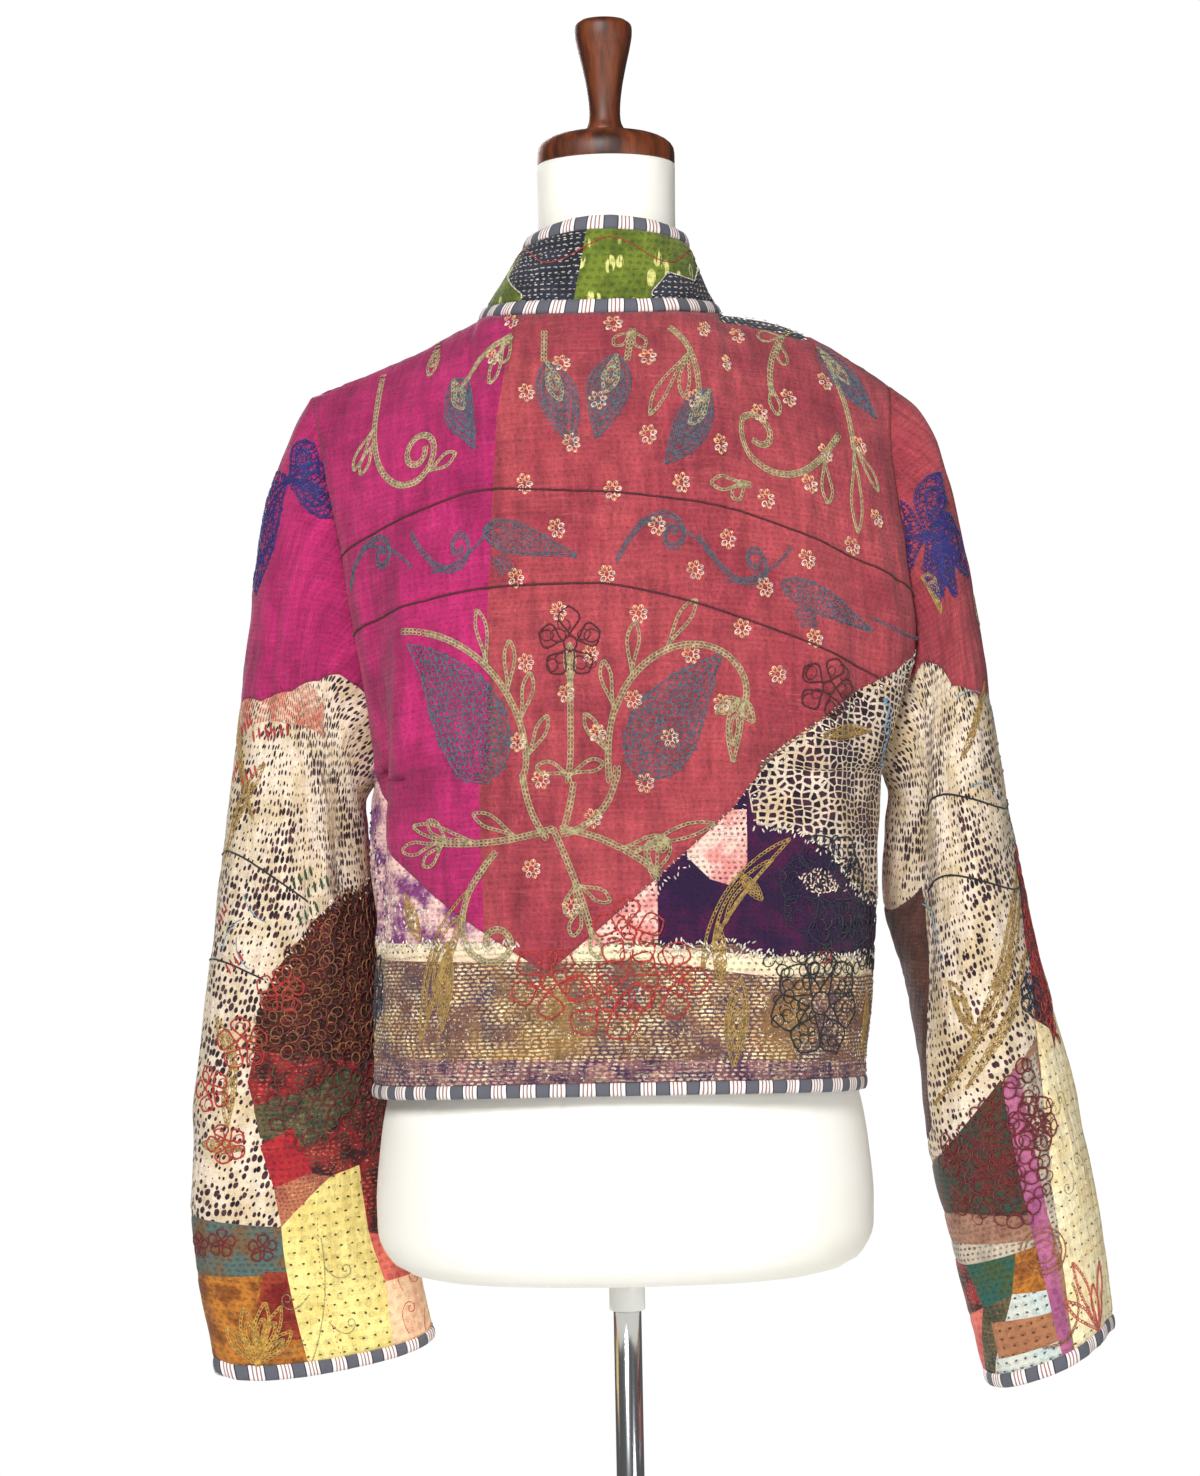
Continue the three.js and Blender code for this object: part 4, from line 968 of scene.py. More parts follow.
# A sleeve's front half repeats the patches of its back half.
def outlines(block):
    result = []
    for finish, outline in patches[block]:
        result.append((finish, outline))
        if outline and block.startswith("sleeve"):
            result.append((finish, [(40 - x, y) for x, y in outline]))
    return result


def closedLine(outline):
    return list(zip(outline, outline[1:] + outline[:1]))


def seamLine(panel):
    name = panel.name.replace("sleeve_", "")
    if name not in blockSeams:
        return []
    line = blockSeams[name]
    if panel.wraps:
        line = line + [(1 - x, y) for x, y in line[-2::-1]]
    return [tuple(panel.flat(np.array([x]), np.array([y]))[0]) for x, y in line]


def isInside(outline, x, y):
    inside = np.zeros(len(x), bool)
    for (x0, y0), (x1, y1) in closedLine(outline):
        crosses = (y0 > y) != (y1 > y)
        inside ^= crosses & (x < (x1 - x0) * (y - y0) / ((y1 - y0) or 1e-9) + x0)
    return inside


# The flat drawing of a panel as a mesh that is cut along its seams and the edges of its patches.
def flatMesh(panel, stretches):
    low, high = panel.low, panel.high
    counts = [max(2, round((high[i] - low[i]) / mesh["step"])) for i in range(2)]
    xs, ys = (np.linspace(low[i], high[i], counts[i] + 1) for i in range(2))
    grid = bmesh.new()
    corners = [[grid.verts.new((x, y, 0)) for x in xs] for y in ys]
    for below, above in zip(corners, corners[1:]):
        for i in range(counts[0]):
            grid.faces.new((below[i], below[i + 1], above[i + 1], above[i]))
    for (x0, y0), (x1, y1) in stretches:
        start, end = Vector((x0, y0, 0)), Vector((x1, y1, 0))
        length = (end - start).length
        if length < 1e-6:
            continue
        along = (end - start) / length
        side = Vector((-along.y, along.x, 0))
        reach = mesh["step"] * 0.8
        near = []
        for face in grid.faces:
            away = face.verts[0].co - start
            if abs(away.x * side.x + away.y * side.y) < reach * 1.6:
                way = away.x * along.x + away.y * along.y
                if -reach < way < length + reach:
                    near.append(face)
        edges = list({edge for face in near for edge in face.edges})
        verts = list({vert for face in near for vert in face.verts})
        bmesh.ops.bisect_plane(grid, geom=verts + edges + near, dist=0.012, plane_co=start, plane_no=side)
    return grid


def distanceTo(stretches, flat):
    nearest = np.full(len(flat), 99.0)
    for start, end in stretches:
        start, end = np.array(start, float), np.array(end, float)
        along = end - start
        way = clamp(((flat - start) @ along) / max(1e-9, along @ along))
        nearest = np.minimum(nearest, np.linalg.norm(flat - start - way[:, None] * along, axis=1))
    return nearest


def addToScene(name, data):
    added = bpy.data.objects.new(name, data)
    bpy.context.scene.collection.objects.link(added)
    return added


def addObject(name, corners, faces, materials, uvs=None, faceMaterials=None, smoothFaces=True):
    data = bpy.data.meshes.new(name)
    data.from_pydata([tuple(corner) for corner in corners], [], faces)
    for material in materials:
        data.materials.append(material)
    if uvs is not None:
        layer = data.uv_layers.new(name="cloth")
        layer.data.foreach_set("uv", np.asarray(uvs, np.float32).ravel())
    if faceMaterials is not None:
        data.polygons.foreach_set("material_index", np.asarray(faceMaterials, np.int32))
    data.polygons.foreach_set("use_smooth", np.full(len(data.polygons), smoothFaces))
    data.validate()
    data.update()
    return addToScene(name, data)


# Each block of a panel becomes a closed thin shell, with its patches as materials.
def buildPanel(panel):
    blockNames = blocks[panel.name]
    seam = seamLine(panel)
    stretches = list(zip(seam, seam[1:]))
    patchEdges = []
    for block in blockNames:
        for finish, outline in outlines(block):
            if outline:
                patchEdges += closedLine(outline)
    grid = flatMesh(panel, stretches + patchEdges)
    grid.verts.index_update()
    flat = np.array([vert.co[:2] for vert in grid.verts])
    faces = [[vert.index for vert in face.verts] for face in grid.faces]
    grid.free()
    centres = np.array([flat[face].mean(0) for face in faces])

    if len(blockNames) == 2:
        xs, ys = np.array(seam).T
        over = centres[:, 1] > np.interp(centres[:, 0], xs, ys)
        isUpper = ~over if panel.wraps else over
    else:
        isUpper = np.zeros(len(faces), bool)

    across, up = panel.share(flat)
    across, up = clamp(across), clamp(up)
    around = across % 1 if panel.wraps else across
    base, out = panel.surface(around, up), panel.direction(around, up)
    low, high = panel.low, panel.high
    rim = [((low[0], y), (high[0], y)) for y in (low[1], high[1])]
    if not panel.wraps:
        rim += [((x, low[1]), (x, high[1])) for x in (low[0], high[0])]
    toSeam = distanceTo(stretches + rim + patchEdges, flat) * 10
    groove = mesh["seamGroove"] * np.exp(-((toSeam / mesh["grooveWidth"]) ** 2))
    relief = panel.relief(around, up)
    outer = (base + out * (relief + clothHalf - groove)[:, None]) * mm
    inner = (base + out * (relief * 0.85 - innerHalf)[:, None]) * mm
    cloth = panel.cloth(across, up)

    weld = np.arange(len(flat))
    if panel.wraps:
        first = {round(flat[i, 1], 4): i for i in np.where(across < 1e-6)[0]}
        for i in np.where(across > 1 - 1e-6)[0]:
            weld[i] = first.get(round(flat[i, 1], 4), i)

    made = {}
    for number, block in enumerate(blockNames):
        picked = [i for i in range(len(faces)) if int(isUpper[i]) == number]
        laid = np.zeros(len(picked), int)
        names = []
        for finish, outline in outlines(block):
            if finish not in names:
                names.append(finish)
            hit = np.ones(len(picked), bool)
            if outline:
                hit = isInside(outline, centres[picked, 0], centres[picked, 1])
            laid[hit] = names.index(finish)
        made[block] = shell(block, [faces[i] for i in picked], weld, outer, inner, cloth, names, laid, panel)
    return made


def shell(name, faces, weld, outer, inner, cloth, finishNames, laid, panel):
    # seen from outside, a front, a back or a sleeve may be drawn the other way about
    sample = [weld[i] for i in faces[len(faces) // 2]]
    normal = np.cross(outer[sample[1]] - outer[sample[0]], outer[sample[2]] - outer[sample[0]])
    outside = outer[sample[0]] - inner[sample[0]]
    if normal @ outside < 0:
        faces = [face[::-1] for face in faces]
    used = sorted({weld[i] for face in faces for i in face})
    number = {old: new for new, old in enumerate(used)}
    count = len(used)
    corners = np.concatenate([outer[used], inner[used]])
    polygons, uvs, kinds = [], [], []
    edges = {}
    for face, kind in zip(faces, laid):
        ids = [number[weld[i]] for i in face]
        polygons.append(ids)
        uvs += [cloth[i] for i in face]
        kinds.append(kind)
        for k in range(len(face)):
            edges[ids[k], ids[(k + 1) % len(ids)]] = (face[k], face[(k + 1) % len(face)], kind)
    for face, kind in zip(faces, laid):
        polygons.append([number[weld[i]] + count for i in face[::-1]])
        uvs += [cloth[i] for i in face[::-1]]
        kinds.append(kind)
    for (a, b), (i, j, kind) in edges.items():
        if (b, a) not in edges:
            polygons.append([b, a, a + count, b + count])
            uvs += [cloth[j], cloth[i], cloth[i], cloth[j]]
            kinds.append(kind)
    materials = [clothMaterials[finish] for finish in finishNames]
    return addObject(name + "_cloth", corners, polygons, materials, uvs, kinds)


cloths = {}
for panel in panels.values():
    cloths.update(buildPanel(panel))
print("cloth laid out")


def hemSkin(across, share):
    left = panels["front_left"].skin(clamp(1 - 4 * across), share)
    back = panels["back"].skin(clamp(2 * across - 0.5), share)
    right = panels["front_right"].skin(clamp(4 * across - 3), share)
    across = across[:, None]
    return np.where(across < 0.25, left, np.where(across <= 0.75, back, right))


def frontEdgeSkin(side):
    return lambda along, share: panels["front_" + side].skin(share, mix(hemBand, 1, along))


# Binding tape, folded over an edge: surface, free edge and inner edge as places on it, whether the tape
# closes on itself, and the middle that it faces away from, which for a cuff is its own.
tape = {"width": 0.0105, "thick": 2.3, "steps": 2.6, "sides": 12, "overlap": 0.12, "pucker": 0.28}
bindings = {
    "hem_binding": (hemSkin, 0.0, hemBand, False, (0, -5)),
    "front_binding_left": (frontEdgeSkin("left"), 1.0, 1 - frontBand, False, (0, 0)),
    "front_binding_right": (frontEdgeSkin("right"), 1.0, 1 - frontBand, False, (0, 0)),
    "neck_binding": (panels["collar"].skin, 0.0, collarBand, False, (6, -8)),
    "collar_binding": (panels["collar"].skin, 1.0, 1 - collarBand, False, (0, -8)),
    "cuff_binding_left": (panels["sleeve_left"].skin, 1.0, 1 - cuffBand, True, None),
    "cuff_binding_right": (panels["sleeve_right"].skin, 1.0, 1 - cuffBand, True, None),
}


# The faces of some stretches between rings of corners.
def ringFaces(stretches, rings, sides):
    faces = []
    for i in range(stretches):
        j = (i + 1) % rings
        for k in range(sides):
            m = (k + 1) % sides
            faces.append([i * sides + k, i * sides + m, j * sides + m, j * sides + k])
    return faces


def buildTape(name, surface, freeEdge, innerEdge, wraps, centre):
    rough = np.linspace(0, 1, 400)
    line = surface(rough, np.full(400, (freeEdge + innerEdge) / 2))
    lengths = lengthsAlong(line)
    count = int(lengths[-1] / tape["steps"])
    along = np.interp(np.linspace(0, lengths[-1], count + 1), lengths, rough)
    free = surface(along, np.full(count + 1, freeEdge))
    inner = surface(along, np.full(count + 1, innerEdge))
    inner += (inner - free) * tape["overlap"]
    middle = (free + inner) / 2
    width = (inner - free) / 2
    tangent = np.gradient(middle, axis=0)
    if wraps:
        tangent[0] = tangent[-1] = middle[1] - middle[-2]
    out = unit(np.cross(tangent, width))
    heart = middle.mean(0) if centre is None else np.array([centre[0], centre[1], 0])
    away = middle - heart
    if centre is not None:
        away[:, 2] = 0
    out *= np.where(dot(out, away) < 0, -1, 1)
    sides = tape["sides"]
    angle = np.arange(sides) * 2 * math.pi / sides
    over = np.cos(angle)
    half = tape["thick"] * np.abs(np.sin(angle)) ** 0.7 * np.sign(np.sin(angle))
    seed = sum(map(ord, name))
    far = np.linspace(0, lengths[-1], count + 1)
    corners, uvs = [], []
    for i in range(count + 1):
        swell = 1 + tape["pucker"] * noise.noise(Vector((far[i] / 7, seed, 0)))
        bend = 0.5 * noise.noise(Vector((far[i] / 9, seed, 5)))
        ring = middle[i] + width[i] * over[:, None] + out[i] * (half * swell + bend)[:, None]
        corners += [tuple(corner * mm) for corner in ring]
    rings = count if wraps else count + 1
    faces = ringFaces(count, rings, sides)
    halfWidth = np.linalg.norm(width, axis=1).mean()
    for i in range(count):
        for k in range(sides):
            for at, which in ((i, k), (i, k + 1), (i + 1, k + 1), (i + 1, k)):
                uvs.append((far[at] * mm, which / sides * 4 * halfWidth * mm))
    corners = corners[: rings * sides]
    if not wraps:
        faces += [list(range(sides))[::-1], [count * sides + k for k in range(sides)]]
        uvs += [(0, 0)] * sides + [(far[-1] * mm, 0)] * sides
    piece = addObject(name + "_tape", corners, faces, [stripedTape], uvs)
    recalculateNormals(piece)
    return piece, lengths[-1] * mm


def recalculateNormals(piece):
    shape = bmesh.new()
    shape.from_mesh(piece.data)
    bmesh.ops.recalc_face_normals(shape, faces=shape.faces)
    shape.to_mesh(piece.data)
    shape.free()


stripes = {
    "repeat": 0.02,
    "dark": 0.47,
    "lines": (0.6, 0.73, 0.86),
    "lineWidth": 0.024,
    "edgeWidth": 0.028,
    "slate": (92, 92, 102),
    "nearBlack": (34, 32, 40),
    "white": (240, 234, 230),
    "thin": (150, 102, 102),
}


def stripedMaterial():
    material, shader, place = newMaterial("striped_tape", clothPlace, 0.85, Sheen_Weight=0.1)
    x = place.make("ShaderNodeSeparateXYZ", {0: place})
    wobble = place.noisy(60.0) - 0.5
    at = (x / stripes["repeat"] + wobble * 0.12).maths("FRACT")
    dark = (1.0 - at.rise(stripes["dark"] - 0.01, stripes["dark"] + 0.01)) * at.rise(0.0, 0.015)
    thin = None
    for middle in stripes["lines"]:
        away = (at - middle).maths("ABSOLUTE")
        mask = 1.0 - away.rise(stripes["lineWidth"] * 0.6, stripes["lineWidth"] * 1.4)
        thin = mask if thin is None else thin.maths("MAXIMUM", mask)
    colour = thin.blend(tone(*stripes["white"]), tone(*stripes["thin"]))
    colour = dark.blend(colour, tone(*stripes["slate"]))
    for middle in (0.02, stripes["dark"]):
        edge = 1.0 - (at - middle).maths("ABSOLUTE").rise(stripes["edgeWidth"] * 0.4, stripes["edgeWidth"])
        colour = edge.blend(colour, tone(*stripes["nearBlack"]))
    threads = place.stretched(2400, 2400).noisy(1.0)
    height = threads * 0.4 + place.stretched(1.0, 0.4).noisy(300.0)
    finishShader(shader, colour.shaded(threads * 0.24 + 0.88), height, 0.0006, 0.6)
    return material


stripedTape = stripedMaterial()
tapes = {}
for name, row in bindings.items():
    tapes[name] = buildTape(name, *row)
print("edges bound")


# The form: heights, half widths, depths behind and before, and how square each section is.
formSections = [
    (782, 136, 78, 82, 2.2), (786, 151, 91, 95, 2.2), (802, 169, 105, 108, 2.2), (828, 173.5, 110, 112, 2.2),
    (868, 171, 112, 111, 2.2), (906, 165, 109, 108, 2.2), (960, 148, 96, 101, 2.15), (1035, 126, 78, 90, 2.1),
    (1110, 138, 90, 105, 2.15), (1180, 152, 100, 126, 2.2), (1225, 157, 103, 132, 2.2),
    (1280, 162, 99, 114, 2.15), (1330, 168, 87, 90, 2.1), (1366, 170, 70, 68, 2.05), (1388, 163, 58, 55, 2),
    (1404, 147, 51, 49, 2), (1420, 121, 48, 48, 2), (1434, 92, 47, 48, 2), (1447, 67, 47, 48, 2),
    (1466, 52, 47, 48, 2), (1500, 48.5, 47, 48.5, 2), (1556, 48.5, 47.5, 48.5, 2),
]
form = {"rows": 150, "columns": 96, "seams": (77, 270), "seamDepth": 0.006, "fairFrom": 790, "fairTo": 1550}


def buildForm():
    table = np.array(formSections, float)
    heights = np.unique(np.concatenate([np.linspace(table[0, 0], table[-1, 0], form["rows"]), table[:6, 0]]))
    widths, backs, fronts, rounds = (np.interp(heights, table[:, 0], table[:, i]) for i in range(1, 5))
    for values, column in ((widths, 1), (backs, 2), (fronts, 3)):
        inner = (heights > form["fairFrom"]) & (heights < form["fairTo"])
        values[inner] = throughRows(table[:, 0], table[:, column], heights[inner])
    angles = list(np.linspace(0, 360, form["columns"], endpoint=False))
    for seam in form["seams"]:
        angles += [seam + step for step in (-0.9, -0.45, 0, 0.45, 0.9)]
    angles = np.unique(np.round(angles, 2))
    corners = []
    for z, width, back, front, power in zip(heights, widths, backs, fronts, rounds):
        c, s = np.cos(np.radians(angles)), np.sin(np.radians(angles))
        depth = np.where(s > 0, back, front)
        reach = np.ones_like(angles)
        for seam in form["seams"]:
            reach -= form["seamDepth"] * np.exp(-(((angles - seam) / 0.5) ** 2))
        x = width * np.sign(c) * np.abs(c) ** (2 / power) * reach
        y = depth * np.sign(s) * np.abs(s) ** (2 / power) * reach
        corners += [(a * mm, b * mm, z * mm) for a, b in zip(x, y)]
    return loftFaces("form_body", corners, len(angles), hardLooks["form_canvas"])


# A stack of closed rings as one closed shell.
def loftFaces(name, corners, ring, material):
    count = len(corners) // ring
    faces = ringFaces(count - 1, count, ring)
    for row, turn in ((0, -1), (count - 1, 1)):
        faces.append([row * ring + k for k in range(ring)][::turn])
    return addObject(name, corners, faces, [material])


def turned(name, profile, foot, material, ring=96):
    corners = []
    for radius, height in profile:
        radius = max(radius, 0.02) * mm
        for k in range(ring):
            angle = 2 * math.pi * k / ring
            corners.append((radius * math.cos(angle), radius * math.sin(angle), (foot + height) * mm))
    piece = loftFaces(name, corners, ring, material)
    recalculateNormals(piece)
    piece.data.set_sharp_from_angle(angle=math.radians(50))
    return piece


# Points along a smooth line through a few given ones.
def fair(rows, each=6):
    rows = np.array(rows, float)
    far = lengthsAlong(rows)
    at = np.concatenate([np.linspace(a, b, each, endpoint=False) for a, b in zip(far, far[1:])] + [far[-1:]])
    return np.stack([throughRows(far, rows[:, i], at) for i in range(rows.shape[1])], -1)


def canvasMaterial():
    material, shader, place = newMaterial("form_canvas", objectPlace, 0.88, Sheen_Weight=0.08)
    yarn = {"Vector": place, "Scale": 420.0, "Distortion": 1.2, "Detail Scale": 3.0}
    warp = place.make("ShaderNodeTexWave", yarn, output=1, bands_direction="Z")
    weft = place.make("ShaderNodeTexWave", yarn, output=1, bands_direction="X")
    blotch = place.noisy(9.0, 4.0).rise(0.35, 0.7)
    colour = blotch.blend(tone(253, 251, 243), tone(249, 246, 234))
    finishShader(shader, colour, warp + weft + place.noisy(900.0), 0.0002, 0.35)
    return material


def woodMaterial():
    coat = {"Coat_Weight": 0.05, "Coat_Roughness": 0.4}
    material, shader, place = newMaterial("turned_wood", objectPlace, 0.5, **coat)
    grain = place.stretched(1.0, 1.0, 0.14).noisy(70.0, 6.0, 0.65)
    pores = place.stretched(1.0, 1.0, 0.05).noisy(520.0, 3.0, 0.7).rise(0.58, 0.72)
    colour = grain.rise(0.35, 0.68).blend(tone(54, 22, 8), tone(124, 58, 20))
    colour = (pores * 0.5).blend(colour, tone(34, 12, 10))
    finishShader(shader, colour, grain - pores * 0.4, 0.0003, 0.25, grain * 0.2 + 0.42)
    return material


def enamelMaterial(name, shades):
    material, shader, place = newMaterial(name, objectPlace, 0.38, Coat_Weight=0.3, Coat_Roughness=0.2)
    colour = place.noisy(14.0, 4.0).rise(0.35, 0.7).blend(tone(*shades[0]), tone(*shades[1]))
    finishShader(shader, colour, place.noisy(420.0, 3.0), 0.00012, 0.3, place.noisy(60.0) * 0.16 + 0.3)
    return material


def chromeMaterial():
    material, shader, place = newMaterial("chrome_tube", objectPlace, 0.12, Metallic=1.0)
    brushed = place.stretched(1.0, 1.0, 0.02).noisy(900.0, 3.0)
    colour = place.noisy(18.0, 3.0).blend(tone(206, 208, 212), tone(222, 223, 225))
    finishShader(shader, colour, brushed, 0.00005, 0.3, brushed * 0.12 + 0.08)
    return material


# The materials of the form and stand, by the slot that each one fills.
hardLooks = {
    "form_canvas": canvasMaterial(),
    "turned_wood": woodMaterial(),
    "white_enamel": enamelMaterial("white_enamel", ((240, 240, 236), (232, 232, 228))),
    "base_enamel": enamelMaterial("base_enamel", ((236, 236, 232), (228, 228, 224))),
    "chrome_tube": chromeMaterial(),
}

# Turned pieces: height of the foot, slot, and stretches of radius and height. Every second stretch is
# faired into a smooth curve.
capTurns = [math.pi * step / 16 for step in range(1, 9)]
capDome = [(20 + 28.5 * math.cos(turn), 8 + 14 * math.sin(turn) ** 0.9) for turn in capTurns]
profiles = {
    "neck_cap": (1556.3, "turned_wood", [
        [(0, 0), (47, 0), (48.2, 0.4), (48.5, 1.5), (48.5, 7.4), *capDome, (0, 22)],
    ]),
    "finial": (1578.6, "turned_wood", [
        [(0, 0), (13, 0)],
        [(13.4, 0.8), (13.6, 3), (11.6, 8), (11, 16), (12.6, 32),
         (15.8, 48), (19, 62), (20.2, 70), (19.6, 76), (16, 79)],
        [(0, 79.5)],
    ]),
    "form_socket": (755.7, "white_enamel", [
        [(0, 0), (11.7, 0), (12.5, 0.8), (12.5, 25.2), (11.9, 26), (0, 26)],
    ]),
    "pole": (30.3, "chrome_tube", [
        [(0, 0), (9.4, 0), (9.75, 0.4), (9.75, 724.7), (9.4, 725.1), (0, 725.1)],
    ]),
    "base": (0, "base_enamel", [
        [(0, 0), (175.6, 0), (176.8, 0.3)],
        [(178, 2), (178, 9), (175.5, 13.5), (170, 16)],
        [(26, 16)],
        [(25, 16.2), (22, 19), (20, 24), (19, 30)],
        [(0, 30)],
    ]),
}
hard = {"form_torso": (buildForm(), "form_canvas")}
for name, (foot, slot, stretches) in profiles.items():
    profile = []
    for number, stretch in enumerate(stretches):
        profile += list(fair(stretch)) if number % 2 else stretch
    hard[name] = (turned(name + "_turned", profile, foot, hardLooks[slot]), slot)
for name, (piece, slot) in hard.items():
    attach(piece, "root")
    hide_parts(name)
print("form and stand made")


# Threads, as they look on the cloth.
threads = {
    "olive": (196, 182, 134), "teal": (80, 108, 126), "darkRed": (84, 12, 26), "peach": (255, 190, 136),
    "shell": (255, 228, 204), "royal": (38, 32, 124), "navy": (24, 26, 54), "ochre": (190, 152, 78),
    "red": (196, 50, 42), "oxblood": (126, 20, 26), "gold": (222, 172, 74), "sage": (166, 160, 116),
    "coral": (226, 110, 92), "sky": (122, 176, 208), "ivory": (250, 238, 220), "black": (26, 22, 30),
    "leaf": (36, 84, 46), "tan": (176, 112, 66),
}

# The stitches, in metres: a link of a chain, loops of three sizes, and straight ones with no corners. The
# columns are sockets of the trees that make them.
stitchSockets = {"Length": "Float", "Width": "Float", "Thread": "Float", "Corners": "Int"}
stitches = {
    "link": (0.0042, 0.0019, 0.0009, 6),
    "petal": (0.0044, 0.0030, 0.0010, 7),
    "loop": (0.0046, 0.0038, 0.0009, 8),
    "ring": (0.0105, 0.0086, 0.0012, 12),
    "straight": (0.0036, 0.0012, 0.0011, 0),
    "satin": (0.0100, 0.0023, 0.0010, 0),
}
stitches = {kind: dict(zip(stitchSockets, row)) for kind, row in stitches.items()}
gathered = {}


def threadMaterial(name):
    sheen = {"Sheen_Weight": 0.2, "Sheen_Roughness": 0.4}
    material, shader, place = newMaterial("thread_" + name, objectPlace, 0.62, **sheen)
    shade = place.noisy(380.0).rise(0.3, 0.7)
    dark = [level * 0.7 for level in threads[name]]
    colour = shade.blend(tone(*dark), tone(*threads[name]))
    finishShader(shader, colour, place.noisy(1800.0), 0.0003, 0.5)
    return material


# A Geometry Nodes tree that puts a stitch on each point, turned along its way and standing off the cloth.
def stitchTree(kind):
    group = bpy.data.node_groups.new("stitches_" + kind, "GeometryNodeTree")
    for label, sort in {"Geometry": "Geometry", **stitchSockets, "Material": "Material"}.items():
        group.interface.new_socket(label, in_out="INPUT", socket_type="NodeSocket" + sort)
    group.interface.new_socket("Geometry", in_out="OUTPUT", socket_type="NodeSocketGeometry")
    entry = group.nodes.new("NodeGroupInput")
    given = {socket.name: Wire(group, socket) for socket in entry.outputs if socket.name}
    start = given["Geometry"]
    if not stitches[kind]["Corners"]:
        size = start.make("ShaderNodeCombineXYZ", {0: given["Length"], 1: given["Width"], 2: given["Thread"]})
        ball = start.make("GeometryNodeMeshIcoSphere", {"Radius": 0.5, "Subdivisions": 1})
        stitch = ball.make("GeometryNodeTransform", {"Geometry": ball, "Scale": size})
    else:
        size = start.make("ShaderNodeCombineXYZ", {0: given["Length"], 1: given["Width"], 2: 1.0})
        ring = start.make("GeometryNodeCurvePrimitiveCircle", {"Resolution": given["Corners"], "Radius": 0.5})
        ring = ring.make("GeometryNodeTransform", {"Geometry": ring, "Scale": size})
        strand = {"Resolution": 3, "Radius": given["Thread"] * 0.5}
        section = start.make("GeometryNodeCurvePrimitiveCircle", strand)
        stitch = ring.make("GeometryNodeCurveToMesh", {"Curve": ring, "Profile Curve": section})
    named = {
        label: start.make("GeometryNodeInputNamedAttribute", {"Name": label}, data_type=sort)
        for label, sort in (("along", "FLOAT_VECTOR"), ("out", "FLOAT_VECTOR"), ("size", "FLOAT"))
    }
    turn = start.make("FunctionNodeAlignRotationToVector", {"Vector": named["out"]}, axis="Z")
    aim = {"Rotation": turn, "Vector": named["along"]}
    turn = turn.make("FunctionNodeAlignRotationToVector", aim, axis="X", pivot_axis="Z")
    placed = {"Points": start, "Instance": stitch, "Rotation": turn, "Scale": named["size"]}
    many = start.make("GeometryNodeInstanceOnPoints", placed)
    real = many.make("GeometryNodeRealizeInstances", {"Geometry": many})
    done = real.make("GeometryNodeSetMaterial", {"Geometry": real, "Material": given["Material"]})
    group.links.new(done.socket, group.nodes.new("NodeGroupOutput").inputs["Geometry"])
    return group


# A line that bends as it goes: it turns by turn degrees in all, and curl winds its end up.
def bentWay(start, heading, length, turn=0.0, curl=0.0, count=40):
    share = np.linspace(0, 1, count)
    angle = np.radians(heading + turn * share + curl * share**3)
    steps = pairs(np.cos(angle), np.sin(angle))[:-1] * length / (count - 1)
    return np.array(start, float) + np.concatenate([np.zeros((1, 2)), np.cumsum(steps, axis=0)])


def sidesOf(way):
    along = np.gradient(way, axis=0)
    return unit(pairs(-along[:, 1], along[:, 0]))


# A leaf's outline along such a line. It is widest at the share fullest of its length.
def leafOutline(start, heading, length, width, turn=0.0, fullest=0.5):
    way = bentWay(start, heading, length, turn, count=14)
    share = np.linspace(0, 1, 14)
    half = np.sin(math.pi * share ** (math.log(0.5) / math.log(fullest)))[:, None] * width / 2
    side = sidesOf(way)
    return np.concatenate([way + side * half, (way - side * half)[-2:0:-1]])


def closed(outline):
    return np.concatenate([outline, outline[:1]])


def evenly(way, spacing):
    far = lengthsAlong(way)
    at = np.linspace(0, far[-1], max(2, int(round(far[-1] / spacing)) + 1))
    return np.stack([np.interp(at, far, way[:, i]) for i in range(2)], -1)


def headingOf(way, share):
    i = min(int(share * (len(way) - 1)), len(way) - 2)
    step = way[i + 1] - way[i]
    return way[i], math.degrees(math.atan2(step[1], step[0]))


